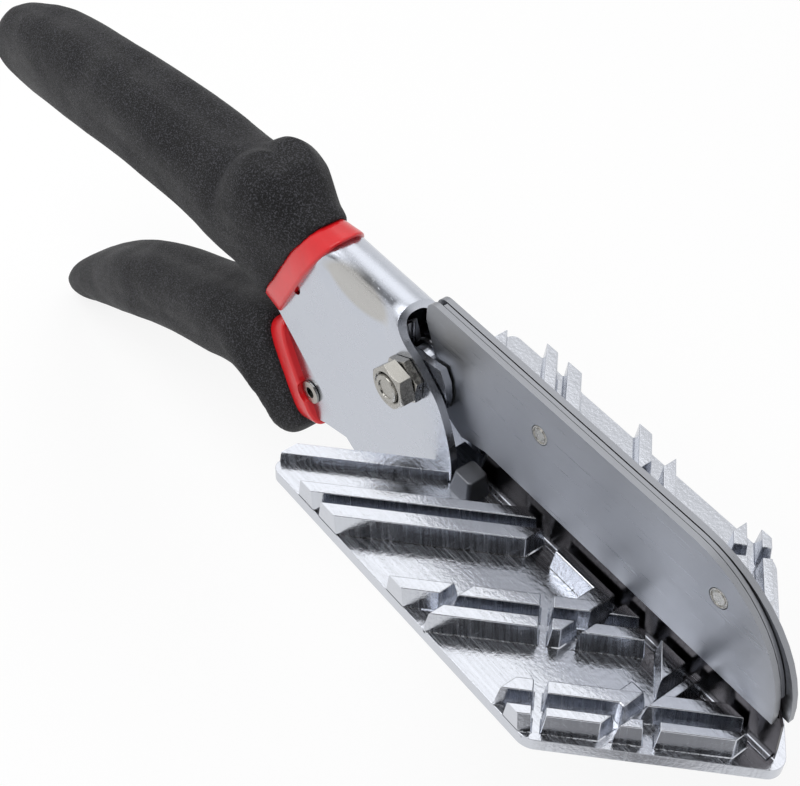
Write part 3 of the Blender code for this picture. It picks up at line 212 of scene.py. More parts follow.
# Packing between the cheeks: centre and radii of its arc over the nose, where it ends, half thickness
RIM_CENTRE = (25.05 * MM, 13.6 * MM)
RIM_OUTER = (23.6 * MM, 24.48 * MM)
RIM_INNER = (22 * MM, 22.8 * MM)
RIM_REAR = -40 * MM
RIM_HALF = 0.42 * MM

# Pivot bolt and nuts: radius of the thread, depths where the shank and the head end, and the hexagon
THREAD = 3 * MM
SHANK_END = 8 * MM
HEAD_SEAT = 6 * MM
ACROSS_FLATS = 8.6 * MM
NUT_LAND = 0.15 * MM
CHAMFER_SLOPE = 1.7
# The shallow dimple in the bolt's end: outer and inner radius, and depth
DIMPLE = (2.1 * MM, 1.9 * MM)
DIMPLE_DEPTH = 0.25 * MM
# The setting ring on a flush rivet, as shares of its radius, and its depth
RING_OUTER = 0.86
RING_INNER = 0.7
RING_DEPTH = 0.2 * MM

# Camera: place, turns round, down and roll in degrees, focal length and sensor in millimetres
CAMERA_PLACE = (0.11324, -0.13743, 0.2330)
CAMERA_AROUND = 50.2018
CAMERA_DOWN = 46.7801
CAMERA_ROLL = 2.7828
CAMERA_LENS = 70.107
CAMERA_SENSOR = 36

# Cards: name, direction from the shears (a place where the distance is 0), distance, size, tone
CARDS = (
    ("camera_side_card", CAMERA_PLACE, 0.7, 0.62, "black"),
    ("low_card", (-0.45, -0.78, 0.42), 0.7, 0.2, "black"),
    ("shoulder_card", (-0.45, -0.443, 0.772), 0.7, 0.2, "black"),
    ("ridge_card", (-0.45, 0.126, 0.88), 0.7, 0.16, "grey"),
    ("far_card", (-0.1, 0.313, 0.14), 0, 0.4, "pale"),
    ("nose_card", (0.12, -0.085, CAD_BOX[0][2] + MM), 0, 0.1, "grey"),
)
# Lamps: name, place, aim, size, power
LAMPS = (
    ("key", (-0.25, -0.35, 0.75), (-0.05, 0, 0), 0.7, 4),
    ("back", (-0.4, 0.49, 0.6), (0, 0, 0), 0.75, 1),
)


def hex_colour(code):
    """Linear red, green and blue of an sRGB hex colour."""
    shares = [int(code[place : place + 2], 16) / 255 for place in (0, 2, 4)]
    return tuple(
        share / 12.92 if share <= 0.04045 else ((share + 0.055) / 1.055) ** 2.4 for share in shares
    )


LENGTH = {"subtype": "DISTANCE", "unit": "LENGTH"}
ANGLE = {"subtype": "ANGLE", "unit": "ROTATION"}
COLOUR = {"size": 3, "min": 0, "max": 1, "subtype": "COLOR"}


class ShearsSizes(bpy.types.PropertyGroup):
    """Small sizes of the finished pieces that the frame leaves open."""

    plate_bevel: bpy.props.FloatProperty(
        name="Plate edge", description="Rounding of the base plate's rim", default=0.12 * MM, **LENGTH
    )
    fence_bevel: bpy.props.FloatProperty(
        name="Fence edge", description="Rounding of the cast fences' edges", default=0.3 * MM, **LENGTH
    )
    fence_draft: bpy.props.FloatProperty(
        name="Fence draft",
        description="Lean of the fences' sides that lets the casting leave its die",
        default=math.radians(5),
        **ANGLE,
    )
    ridge_radius: bpy.props.FloatProperty(
        name="Ridge radius",
        description="Bend along the top of the upper handle's channel",
        default=5.2 * MM,
        **LENGTH,
    )
    pressed_edge: bpy.props.FloatProperty(
        name="Pressed edge",
        description="Rounding of the cut edges of pressed sheet",
        default=0.42 * MM,
        **LENGTH,
    )
    dent_depth: bpy.props.FloatProperty(
        name="Dent depth",
        description="Depth of the long hollow pressed beside the ridge",
        default=1 * MM,
        **LENGTH,
    )
    collar_bevel: bpy.props.FloatProperty(
        name="Collar edge", description="Rounding of the red collars' rims", default=0.8 * MM, **LENGTH
    )
    coat_cell: bpy.props.FloatProperty(
        name="Coat cell",
        description="Fineness of the skin of the dipped grips",
        default=0.85 * MM,
        **LENGTH,
    )


class ShearsColours(bpy.types.PropertyGroup):
    """Colours of the finishes."""

    black_coat: bpy.props.FloatVectorProperty(
        name="Black coat", description="Soft vinyl of the grips", default=hex_colour("0e0e10"), **COLOUR
    )
    red_coat: bpy.props.FloatVectorProperty(
        name="Red coat", description="Glossy vinyl of the collars", default=hex_colour("e01a22"), **COLOUR
    )
    chrome: bpy.props.FloatVectorProperty(
        name="Chrome", description="Plating of the base casting", default=hex_colour("c9ccd3"), **COLOUR
    )
    casting: bpy.props.FloatVectorProperty(
        name="Casting", description="Unpolished skin of the bosses", default=hex_colour("74767b"), **COLOUR
    )
    zinc: bpy.props.FloatVectorProperty(
        name="Zinc", description="Plating of the pressed handles", default=hex_colour("c6cad3"), **COLOUR
    )
    sheet: bpy.props.FloatVectorProperty(
        name="Brushed sheet",
        description="Bare steel of the blade holder",
        default=hex_colour("909297"),
        **COLOUR,
    )
    blade: bpy.props.FloatVectorProperty(
        name="Blade", description="Ground steel of the blade", default=hex_colour("343133"), **COLOUR
    )
    nickel: bpy.props.FloatVectorProperty(
        name="Dark nickel",
        description="Plating of the nuts and rivets",
        default=hex_colour("a8a6a1"),
        **COLOUR,
    )
    backdrop: bpy.props.FloatVectorProperty(
        name="Backdrop", description="Floor and surroundings", default=hex_colour("ffffff"), **COLOUR
    )


# Materials


def wire(tree, node, wires):
    """Feed a node's sockets, each from a socket or from the first output of a node."""
    for key, source in wires.items():
        tree.links.new(getattr(source, "outputs", [source])[0], node.inputs[key])


def add_node(tree, kind, values=None, wires=None, **settings):
    """Put a shader node in a tree with its settings, its sockets' values and what feeds them."""
    node = tree.nodes.new(f"ShaderNode{kind}")
    for key, value in settings.items():
        setattr(node, key, value)
    for key, value in (values or {}).items():
        node.inputs[key].default_value = value
    wire(tree, node, wires or {})
    return node


def new_finish(name, colour, metallic, roughness):
    """Material with its uniform numbers on the shader's own sockets."""
    material = bpy.data.materials.new(name)
    material.use_nodes = True
    shader = material.node_tree.nodes["Principled BSDF"]
    shader.inputs["Base Color"].default_value = (*colour, 1)
    shader.inputs["Metallic"].default_value = metallic
    shader.inputs["Roughness"].default_value = roughness
    return material, material.node_tree, shader


def per(size):
    """Scale of a pattern whose marks are this many millimetres across."""
    return 1 / (size * MM)


def tone(colour, times):
    """Darker or lighter tone of a colour, as a colour socket takes it."""
    return (*[min(1, share * times) for share in colour], 1)


def ramp(*numbers):
    """Range that a value is read from, and the range that it is turned into."""
    return dict(zip(("From Min", "From Max", "To Min", "To Max"), numbers))


def marked(tree, shader, pattern, tones=None, haze=None, relief=None, over=None):
    """Let a pattern tint a finish between two tones, change its gloss and stand out as relief."""
    wires = {}
    if tones:
        tint = add_node(tree, "Mix", dict(zip((6, 7), tones)), {0: pattern}, data_type="RGBA")
        wires["Base Color"] = tint.outputs[2]
    if haze:
        wires["Roughness"] = add_node(tree, "MapRange", ramp(*haze), {"Value": pattern})
    if relief:
        below = {"Normal": over} if over else {}
        values = {"Strength": relief[0], "Distance": relief[1] * MM}
        wires["Normal"] = add_node(tree, "Bump", values, {"Height": pattern, **below})
    wire(tree, shader, wires)
    return wires.get("Normal")


def chrome_plated_die_casting(colour):
    """Bright chrome over a zinc die casting, so it mirrors its surroundings with a slight ripple."""
    material, tree, shader = new_finish("chrome_plated_zinc_die_casting", colour, 1, 0.2)
    place = {"Vector": add_node(tree, "TexCoord").outputs["Object"]}
    # The die's skin is grained at about 0.2 mm and is drawn at 0.8 mm, so dark reflections break up.
    ripple = add_node(tree, "TexNoise", {"Scale": per(0.8), "Detail": 2.5, "Roughness": 0.65}, place)
    # Polishing lines are 0.05 mm apart and drawn 0.4 mm apart to show. They run across the fences.
    lay = {"Rotation": (0, 0, math.radians(40)), "Scale": (per(12), per(0.4), per(12))}
    turned = add_node(tree, "Mapping", lay, place)
    lines = add_node(tree, "TexNoise", {"Scale": 1, "Detail": 3, "Roughness": 0.6}, {"Vector": turned})
    soft = marked(tree, shader, ripple, relief=(0.6, 0.09))
    marked(tree, shader, lines, haze=(0.35, 0.75, 0.13, 0.3), relief=(0.2, 0.01), over=soft)
    return material


def unpolished_casting(colour):
    """Casting's own skin under the plating, which no wheel reached: dark, dull and pitted."""
    material, tree, shader = new_finish("unpolished_zinc_casting", colour, 1, 0.42)
    place = {"Vector": add_node(tree, "TexCoord").outputs["Object"]}
    # Pits are about 0.1 mm across and are drawn at 0.4 mm to show at all.
    values = {"Scale": per(0.4), "Detail": 2, "Roughness": 0.7}
    marked(tree, shader, add_node(tree, "TexNoise", values, place), relief=(0.5, 0.08))
    return material


def zinc_plated_pressed_steel(colour):
    """Bright zinc on pressed sheet: satin, cool, with faint clouds from the bath and the press."""
    material, tree, shader = new_finish("zinc_plated_pressed_steel", colour, 1, 0.3)
    place = {"Vector": add_node(tree, "TexCoord").outputs["Object"]}
    # Clouds in the plating are 4 to 8 mm across.
    values = {"Scale": per(6), "Detail": 4, "Roughness": 0.6, "Distortion": 0.6}
    clouds = add_node(tree, "TexNoise", values, place)
    # The sheet's rolled grain is under 0.1 mm and is drawn 0.5 mm across.
    grain = add_node(tree, "TexNoise", {"Scale": per(0.5), "Detail": 2, "Roughness": 0.6}, place)
    tones = tone(colour, 0.9), tone(colour, 1)
    wave = marked(tree, shader, clouds, tones, (0.3, 0.7, 0.2, 0.32), (0.35, 0.12))
    marked(tree, shader, grain, relief=(0.2, 0.02), over=wave)
    return material


def zinc_with_painted_reflections(zinc):
    """Zinc with painted reflections: a dull grey hollow painted as the pale reflection in the dent, under a
    painted dark reflection line that breaks up into specks.
    """
    material = zinc.copy()
    material.name = "zinc_pressing_with_painted_reflections"
    tree = material.node_tree
    shader = tree.nodes["Principled BSDF"]
    clean = shader.inputs["Base Color"].links[0].from_socket
    place = {"Vector": add_node(tree, "TexCoord").outputs["Object"]}
    axes = add_node(tree, "SeparateXYZ", wires=place)
    # Specks are 0.2 mm across and are drawn at 0.8 mm.
    specks = add_node(tree, "TexNoise", {"Scale": per(0.8), "Detail": 3, "Roughness": 0.7}, place)
    # The painted dark reflection line runs along the pressing 31.4 mm up.
    lift = add_node(tree, "Math", {1: 31.4 * MM}, {0: axes.outputs["Z"]}, operation="SUBTRACT")
    off = add_node(tree, "Math", wires={0: lift}, operation="ABSOLUTE")
    # Each window runs from nothing to full between two places in the pressing.
    windows = (
        (off, 0.75 * MM, 0.3 * MM),
        (axes.outputs["Y"], -1.5 * MM, -2.5 * MM),
        (axes.outputs["X"], -49.5 * MM, -51.5 * MM),
        (axes.outputs["X"], -74 * MM, -60 * MM),
        (specks, 0.26, 0.36),
    )
    # Where every window is full, the painted dark reflection line covers 85% of the zinc.
    share = None
    for value, empty, full in windows:
        numbers = (min(empty, full), max(empty, full), float(empty > full), float(full > empty))
        window = add_node(tree, "MapRange", ramp(*numbers), {"Value": value})
        wires = {0: share, 1: window} if share else {1: window}
        share = add_node(tree, "Math", {0: 0.85}, wires, operation="MULTIPLY")
    # The pale hollow, a painted reflection of light in the dent, is an ellipse 22 mm long and 7 mm high.
    middle = {1: (-60.5 * MM, 0, 28.4 * MM)}
    moved = add_node(tree, "VectorMath", middle, {0: place["Vector"]}, operation="SUBTRACT")
    squeezed = add_node(tree, "VectorMath", {1: (per(11), 0, per(3.5))}, {0: moved}, operation="MULTIPLY")
    reach = add_node(tree, "VectorMath", wires={0: squeezed}, operation="LENGTH")
    pale_reflection_oval = add_node(tree, "MapRange", ramp(0.78, 1, 1, 0), {"Value": reach.outputs["Value"]})
    near = add_node(tree, "Math", {1: -MM}, {0: axes.outputs["Y"]}, operation="LESS_THAN")
    dull = add_node(tree, "Math", wires={0: pale_reflection_oval, 1: near}, operation="MULTIPLY")
    # Over the clean zinc go the pale painted reflection of the hollow, then the painted dark reflection
    # line.
    for cover, code in ((dull, "b9b8b6"), (share, "1c1e22")):
        painted_tone = {7: tone(hex_colour(code), 1)}
        clean = add_node(tree, "Mix", painted_tone, {0: cover, 6: clean}, data_type="RGBA").outputs[2]
    wire(tree, shader, {"Base Color": clean})
    return material


def brushed_steel_sheet(colour):
    """Bare steel sheet brushed along its length, so it is grey with long fine lines and a soft sheen."""
    material, tree, shader = new_finish("brushed_steel_sheet", colour, 1, 0.34)
    place = {"Vector": add_node(tree, "TexCoord").outputs["Object"]}
    # Brush lines are 0.05 mm apart and are drawn 0.35 mm apart, 25 mm long.
    along = add_node(tree, "Mapping", {"Scale": (per(25), per(0.35), per(0.35))}, place)
    lines = add_node(tree, "TexNoise", {"Scale": 1, "Detail": 3, "Roughness": 0.7}, {"Vector": along})
    tones = tone(colour, 0.88), tone(colour, 1.1)
    marked(tree, shader, lines, tones, (0.3, 0.7, 0.26, 0.42), (0.15, 0.02))
    return material


def ground_blade_steel(colour):
    """Hardened strip ground across its edge: darker than the holder and nearly a mirror."""
    material, tree, shader = new_finish("ground_blade_steel", colour, 1, 0.16)
    place = {"Vector": add_node(tree, "TexCoord").outputs["Object"]}
    # Grinding lines stand square to the edge, 0.03 mm apart, drawn 0.3 mm apart.
    across = add_node(tree, "Mapping", {"Scale": (per(0.3), per(0.3), per(14))}, place)
    lines = add_node(tree, "TexNoise", {"Scale": 1, "Detail": 2, "Roughness": 0.6}, {"Vector": across})
    marked(tree, shader, lines, haze=(0.3, 0.7, 0.17, 0.22), relief=(0.1, 0.005))
    return material


def dark_nickel_plated_steel(colour):
    """Dull nickel on cold-headed fasteners: warm grey with small bright and dark marks."""
    material, tree, shader = new_finish("dark_nickel_plated_steel", colour, 1, 0.26)
    place = {"Vector": add_node(tree, "TexCoord").outputs["Object"]}
    # Heading marks are 0.8 mm across.
    values = {"Scale": per(0.8), "Detail": 3, "Roughness": 0.65}
    marks = add_node(tree, "TexNoise", values, place)
    tones = tone(colour, 0.65), tone(colour, 1.3)
    marked(tree, shader, marks, tones, (0.3, 0.7, 0.18, 0.36), (0.35, 0.03))
    return material


def drawn_spring_wire(colour):
    """Oiled spring wire: dark, smooth, with drawing lines along the coil."""
    material, tree, shader = new_finish("drawn_spring_wire", colour, 1, 0.3)
    place = {"Vector": add_node(tree, "TexCoord").outputs["Object"]}
    # Drawing lines are too fine to show and are drawn 0.3 mm apart.
    lines = add_node(tree, "TexNoise", {"Scale": per(0.3), "Detail": 1}, place)
    marked(tree, shader, lines, haze=(0, 1, 0.2, 0.4))
    return material


def black_plastisol_dip(colour):
    """Soft vinyl dipped over the handle: near black and matt, with a sandy skin that catches the light."""
    material, tree, shader = new_finish("black_plastisol_dip", colour, 0, 0.62)
    shader.inputs["IOR"].default_value = 1.52
    shader.inputs["Specular IOR Level"].default_value = 0.22
    place = {"Vector": add_node(tree, "TexCoord").outputs["Object"]}
    # The skin's grains are 0.25 mm and are drawn 0.34 mm across.
    grains = add_node(tree, "TexNoise", {"Scale": per(0.34), "Detail": 3, "Roughness": 0.7}, place)
    # Thicker and thinner places in the dip are 12 mm across.
    drifts = add_node(tree, "TexNoise", {"Scale": per(12), "Detail": 2}, place)
    speck = add_node(tree, "MapRange", ramp(0.5, 0.64, 0, 1), {"Value": grains})
    marked(tree, shader, speck, (tone(colour, 0.7), tone(colour, 14)))
    marked(tree, shader, drifts, haze=(0.3, 0.7, 0.52, 0.7))
    marked(tree, shader, grains, relief=(0.9, 0.2))
    return material


def red_plastisol_dip(colour):
    """The first dip, left showing as a collar: glossy red vinyl with a gently uneven surface."""
    material, tree, shader = new_finish("red_plastisol_dip", colour, 0, 0.24)
    shader.inputs["IOR"].default_value = 1.52
    place = {"Vector": add_node(tree, "TexCoord").outputs["Object"]}
    # The dip runs and sags in waves of about 3 mm.
    waves = add_node(tree, "TexNoise", {"Scale": per(3), "Detail": 2, "Roughness": 0.5}, place)
    marked(tree, shader, waves, (tone(colour, 0.8), tone(colour, 1)), relief=(0.5, 0.12))
    return material


def in_view(tree):
    """Share that is full for rays from the camera and for what metal and glass show."""
    rays = add_node(tree, "LightPath").outputs
    seen = rays["Is Camera Ray"]
    for kind in ("Is Glossy Ray", "Is Transmission Ray"):
        seen = add_node(tree, "Math", wires={0: seen, 1: rays[kind]}, operation="MAXIMUM")
    return seen


def painted_floor(colour):
    """Flat white studio floor: white to the camera and in the metal, with the shears' soft shadow on it."""
    material, tree, shader = new_finish("painted_studio_floor", colour, 0, 0.9)
    share = add_node(tree, "Math", {1: 0.82}, {0: in_view(tree)}, operation="MULTIPLY")
    glow = add_node(tree, "Emission", {"Color": (*colour, 1), "Strength": 1})
    mixed = add_node(tree, "MixShader", wires={0: share, 1: shader, 2: glow})
    wire(tree, tree.nodes["Material Output"], {"Surface": mixed})
    return material


def studio_card(name, code, glow=0):
    """Matt card, lit from behind where it glows, that gives the bright metal a tone to mirror."""
    material, _, shader = new_finish(name, hex_colour(code), 0, 1)
    shader.inputs["Emission Color"].default_value = (1, 1, 1, 1)
    shader.inputs["Emission Strength"].default_value = glow
    shader.inputs["Specular IOR Level"].default_value = 0
    return material


# Modelling


def deselect():
    bpy.ops.object.select_all(action="DESELECT")


def pick(*objs):
    """Select these objects alone, the last one active."""
    deselect()
    for obj in objs:
        obj.select_set(True)
    bpy.context.view_layer.objects.active = objs[-1]


def placed(obj, name):
    """Put the object's place and turn into its mesh, and name both."""
    pick(obj)
    bpy.ops.object.transform_apply(location=True, rotation=True, scale=True)
    obj.name = name
    obj.data.name = name
    return obj


def block(name, low, high):
    """Square block between two corners."""
    deselect()
    middle = [(a + b) / 2 for a, b in zip(low, high)]
    bpy.ops.mesh.primitive_cube_add(size=1, location=middle)
    obj = bpy.context.object
    obj.scale = [b - a for a, b in zip(low, high)]
    return placed(obj, name)


def turned_bar(name, place, radius, y_from, y_to, sides=72, turn=0, end_radius=None):
    """Round or many-sided bar across the shears; end_radius makes it taper along y."""
    deselect()
    bpy.ops.mesh.primitive_cone_add(
        vertices=sides,
        radius1=radius,
        radius2=radius if end_radius is None else end_radius,
        depth=y_to - y_from,
        location=(place[0], (y_from + y_to) / 2, place[1]),
        rotation=(math.radians(-90), math.radians(turn), 0),
    )
    return placed(bpy.context.object, name)


def from_pivot(spot):
    """x and z of a spot given in millimetres from the pivot."""
    return (PIVOT[0] + spot[0] * MM, PIVOT[1] + spot[1] * MM)


def over_all(obj, operator, **settings):
    """Run one edit-mode operator on the whole mesh."""
    pick(obj)
    bpy.ops.object.mode_set(mode="EDIT")
    bpy.ops.mesh.select_all(action="SELECT")
    operator(**settings)
    bpy.ops.object.mode_set(mode="OBJECT")
    return obj


def on_faces(obj, chosen, operator, **settings):
    """Run one edit-mode operator on the faces that a test chooses."""
    pick(obj)
    bpy.ops.object.mode_set(mode="EDIT")
    bpy.ops.mesh.select_mode(type="FACE")
    bpy.ops.mesh.select_all(action="DESELECT")
    shape = bmesh.from_edit_mesh(obj.data)
    for face in shape.faces:
        face.select_set(chosen(face))
    bmesh.update_edit_mesh(obj.data)
    operator(**settings)
    bpy.ops.mesh.select_mode(type="VERT")
    bpy.ops.object.mode_set(mode="OBJECT")
    return obj


def outward(obj):
    """Point every face of a closed piece outwards."""
    return over_all(obj, bpy.ops.mesh.normals_make_consistent, inside=False)


def in_order(indices, count):
    """Number that sorts faces and edges by their lowest and then by their highest point."""
    return min(indices) * count + max(indices)


def traced(name, points, y_from, y_to):
    """Pull one point round a side outline, fill it and pull the sheet across the shears."""
    deselect()
    bpy.ops.mesh.primitive_plane_add(size=MM, location=(points[0][0], y_from, points[0][1]))
    obj = bpy.context.object
    placed(obj, name)
    bpy.ops.object.mode_set(mode="EDIT")
    bpy.ops.mesh.select_all(action="SELECT")
    bpy.ops.mesh.merge(type="CENTER")
    for before, after in zip(points, points[1:]):
        step = (after[0] - before[0], 0, after[1] - before[1])
        bpy.ops.mesh.extrude_vertices_move(TRANSFORM_OT_translate={"value": step})
    shape = bmesh.from_edit_mesh(obj.data)
    for vert in shape.verts:
        vert.select_set(len(vert.link_edges) < 2)
    bmesh.update_edit_mesh(obj.data)
    bpy.ops.mesh.edge_face_add()
    bpy.ops.mesh.select_all(action="SELECT")
    bpy.ops.mesh.edge_face_add()
    bpy.ops.mesh.extrude_region_move(TRANSFORM_OT_translate={"value": (0, y_to - y_from, 0)})
    bpy.ops.mesh.select_all(action="SELECT")
    bpy.ops.mesh.normals_make_consistent(inside=False)
    # The pull makes its faces in an order that changes from run to run, so they are put in one order.
    shape = bmesh.from_edit_mesh(obj.data)
    shape.verts.index_update()
    for parts in (shape.faces, shape.edges):
        parts.sort(key=lambda part: in_order([vert.index for vert in part.verts], len(shape.verts)))
    bmesh.update_edit_mesh(obj.data)
    bpy.ops.object.mode_set(mode="OBJECT")
    return obj


def eased(points, steps):
    """Smooth run through a row of places."""
    rows = [Vector(point) for point in points]
    out = []
    for index in range(len(rows) - 1):
        start, end = rows[index], rows[index + 1]
        before = rows[max(index - 1, 0)]
        after = rows[min(index + 2, len(rows) - 1)]
        for step in range(steps):
            part = step / steps
            bend = (2 * before - 5 * start + 4 * end - after) * part**2
            bend += (3 * start - before - 3 * end + after) * part**3
            out.append(tuple((2 * start + (end - before) * part + bend) / 2))
    out.append(tuple(rows[-1]))
    return out


def sliced(obj, place, normal):
    """Cut away what lies beyond a plane and close the cut."""
    cut = {"plane_co": place, "plane_no": normal, "use_fill": True, "clear_outer": True}
    return over_all(obj, bpy.ops.mesh.bisect, **cut)


def bevelled_edges(obj, chosen, offset, segments):
    """Round the edges that a test on their two ends chooses."""
    pick(obj)
    bpy.ops.object.mode_set(mode="EDIT")
    bpy.ops.mesh.select_mode(type="EDGE")
    bpy.ops.mesh.select_all(action="DESELECT")
    shape = bmesh.from_edit_mesh(obj.data)
    for edge in shape.edges:
        edge.select_set(chosen(edge.verts[0].co, edge.verts[1].co))
    bmesh.update_edit_mesh(obj.data)
    bpy.ops.mesh.bevel(offset=offset, segments=segments, affect="EDGES", clamp_overlap=True)
    bpy.ops.mesh.select_mode(type="VERT")
    bpy.ops.object.mode_set(mode="OBJECT")
    return obj


def modified(obj, kind, **settings):
    """Add a modifier with its settings and apply it."""
    pick(obj)
    bpy.ops.object.modifier_add(type=kind)
    modifier = obj.modifiers[-1]
    for key, value in settings.items():
        setattr(modifier, key, value)
    bpy.ops.object.modifier_apply(modifier=modifier.name)
    return obj


def softened(obj, width, segments=2, angle=32):
    """Round every edge sharper than an angle."""
    return modified(
        obj,
        "BEVEL",
        width=width,
        segments=segments,
        limit_method="ANGLE",
        angle_limit=math.radians(angle),
        miter_outer="MITER_SHARP",
    )


def carved(obj, operation, *tools):
    """Cut, join or keep the shape by other solids, which are used up."""
    for tool in tools:
        modified(obj, "BOOLEAN", operation=operation, object=tool, solver="EXACT")
        pick(tool)
        bpy.ops.object.delete()
    return obj


def within_box(obj):
    """Keep a piece inside the frame's overall size."""
    for vert in obj.data.vertices:
        vert.co = [min(high, max(low, value)) for value, low, high in zip(vert.co, *CAD_BOX)]
    return obj


def joined(name, *objs):
    pick(*objs)
    bpy.ops.object.join()
    return placed(bpy.context.object, name)


def far_side(obj):
    """Give the piece its mirror image beyond the blade."""
    across = {"use_axis": (False, True, False), "use_mirror_merge": True, "merge_threshold": 0.001 * MM}
    return outward(modified(obj, "MIRROR", **across))


def from_frame(node, name):
    """Copy of a solid of the frame, merged from loose triangles into flat faces."""
    pick(frame["nodes"][node])
    bpy.ops.object.duplicate()
    obj = bpy.context.object
    bpy.ops.object.parent_clear(type="CLEAR_KEEP_TRANSFORM")
    for key in [key for key in obj.keys() if key.startswith("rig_")]:
        del obj[key]
    placed(obj, name)
    bpy.ops.object.mode_set(mode="EDIT")
    bpy.ops.mesh.select_all(action="SELECT")
    bpy.ops.mesh.remove_doubles(threshold=0.002 * MM)
    bpy.ops.mesh.customdata_custom_splitnormals_clear()
    bpy.ops.mesh.dissolve_limited(angle_limit=math.radians(0.6))
    bpy.ops.object.mode_set(mode="OBJECT")
    return obj


def finished(obj, name, material, body, nodes, angle=35):
    """Shade the piece, give it its finish and put it in the shears in place of the frame's solids."""
    placed(obj, name)
    bpy.ops.object.shade_smooth_by_angle(angle=math.radians(angle))
    modified(obj, "WEIGHTED_NORMAL", weight=100, keep_sharp=True)
    obj.data.materials.clear()
    obj.data.materials.append(material)
    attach(obj, body)
    if nodes:
        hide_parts(*nodes)
    return obj


def redressed(material, *nodes):
    """Solids of the frame that stay as they are, with a better finish."""
    for node in nodes:
        for slot in frame["nodes"][node].material_slots:
            slot.material = material


# Base casting


def behind_apex(share):
    return APEX - share * CHEVRON


def clipped(points, along_x, along_y, limit):
    """The part of an outline where along_x * x + along_y * y is no more than the limit."""
    out = []
    for index, point in enumerate(points):
        last = points[index - 1]
        last_over = along_x * last[0] + along_y * last[1] - limit
        over = along_x * point[0] + along_y * point[1] - limit
        if (last_over > 0) != (over > 0):
            part = last_over / (last_over - over)
            out.append((last[0] + (point[0] - last[0]) * part, last[1] + (point[1] - last[1]) * part))
        if over <= 0:
            out.append(point)
    return out


def fence_run(band, limits):
    """Outline of a slanted fence on the near half, stopped at the slots given as half planes."""
    points = []
    for share, ends in ((band[0], (NEAR_EDGE, BLADE_SIDE)), (band[1], (BLADE_SIDE, NEAR_EDGE))):
        points += [(behind_apex(share) + y, y) for y in ends]
    for along_x, along_y, limit in limits:
        points = clipped(points, along_x, along_y, limit)
    return points


def behind(share):
    return (1, 0, behind_apex(share))


def ahead(share):
    return (-1, 0, -behind_apex(share))


def behind_mitre(share):
    return (1, 1, behind_apex(share))


def ahead_mitre(share):
    return (-1, -1, -behind_apex(share))


def corners(x_from, y_from, x_to, y_to):
    return [(x_from, y_from), (x_to, y_from), (x_to, y_to), (x_from, y_to)]


def fence_legs():
    """Short walls that turn a fence into an L or a hook beside the blade."""
    nose_drop = (NOSE_BACK[0] + NOSE_BACK[1]) / 2 * CHEVRON
    bar_start = behind_apex(BLADE_BAR[0])
    bar_end = bar_start + BLADE_BAR[1]
    leg = behind_apex(BAR_LEG)
    pocket = behind_apex(NOSE_POCKET)
    slot_end = behind_apex(SQUARE_SLOTS[2][0])
    hook = behind_apex(HOOK_LEG)
    hook_end = behind_apex(SQUARE_SLOTS[2][1])
    mitre_end = behind_apex(MITRE_SLOTS[1][0])
    return [
        corners(bar_start, BLADE_SIDE, bar_end, BLADE_SIDE - BLADE_BAR[2]),
        corners(leg, BLADE_SIDE, bar_end, leg - behind_apex(MIDDLE_BACK[1])),
        [
            (slot_end, BLADE_SIDE),
            (pocket, BLADE_SIDE),
            (pocket, pocket - APEX + nose_drop),
            (slot_end, slot_end - APEX + nose_drop),
        ],
        corners(hook, behind_apex(MITRE_SLOTS[1][1]) - hook_end, hook_end, hook - APEX + nose_drop),
        [(mitre_end - BLADE_SIDE, BLADE_SIDE), (hook_end, BLADE_SIDE), (hook_end, mitre_end - hook_end)],
    ]


def fence_runs():
    """Outlines of the full-height fences of the near half."""
    slot_back, slot_middle, slot_front = SQUARE_SLOTS
    mitre_back, mitre_front = MITRE_SLOTS
    inner = (0, 1, BLADE_SIDE)
    runs = [
        (LONG_BACK, [inner]),
        (LONG_FRONT, [behind(slot_back[1])]),
        (MIDDLE_BACK, [behind(slot_back[1])]),
        (MIDDLE_BACK, [ahead(slot_back[0]), behind_mitre(mitre_back[1])]),
        (MIDDLE_BACK, [ahead_mitre(mitre_back[0]), behind(slot_middle[1])]),
        (MIDDLE_BACK, [ahead(slot_middle[0]), inner]),
        (MIDDLE_FRONT, [ahead(slot_back[0]), behind_mitre(mitre_back[1])]),
        (MIDDLE_FRONT, [ahead_mitre(mitre_back[0]), behind(slot_middle[1])]),
        (MIDDLE_FRONT, [ahead(slot_middle[0]), behind_mitre(mitre_front[1])]),
        (NOSE_BACK, [ahead(slot_middle[0]), behind_mitre(mitre_back[1])]),
        (NOSE_BACK, [ahead_mitre(mitre_back[0]), behind(slot_front[1])]),
        (NOSE_BACK, [ahead(slot_front[0]), inner]),
        (NOSE_FRONT, [behind_mitre(mitre_back[1])]),
        (NOSE_FRONT, [ahead_mitre(mitre_back[0]), behind(slot_front[1])]),
        (NOSE_FRONT, [ahead(slot_front[0]), behind_mitre(mitre_front[1])]),
        (NOSE_FRONT, [ahead_mitre(mitre_front[0]), (1, 0, NOSE_LIMIT)]),
    ]
    return [fence_run(band, limits) for band, limits in runs]


def fence_wall(name, points, bottom, top, slope, grow=0):
    """Block sliced along a convex outline, its sides leaning out towards the foot."""
    centre = sum((Vector(point) for point in points), Vector((0, 0))) / len(points)
    reach = ((top - bottom) * slope + grow) * 1.5
    xs = [point[0] for point in points]
    ys = [point[1] for point in points]
    low = (min(xs) - reach, min(ys) - reach, bottom)
    high = (max(xs) + reach, max(ys) + reach, top)
    wall = block(name, low, high)
    for index, point in enumerate(points):
        start, end = Vector(points[index - 1]), Vector(point)
        if (end - start).length < 0.01 * MM:
            continue
        outward = Vector((end.y - start.y, start.x - end.x)).normalized()
        if outward.dot(start - centre) < 0:
            outward = -outward
        beside_blade = max(abs(start.y - BLADE_SIDE), abs(end.y - BLADE_SIDE)) < 0.01 * MM
        place = start + outward * grow
        sliced(wall, (place.x, place.y, top), (outward.x, outward.y, 0 if beside_blade else slope))
    return wall


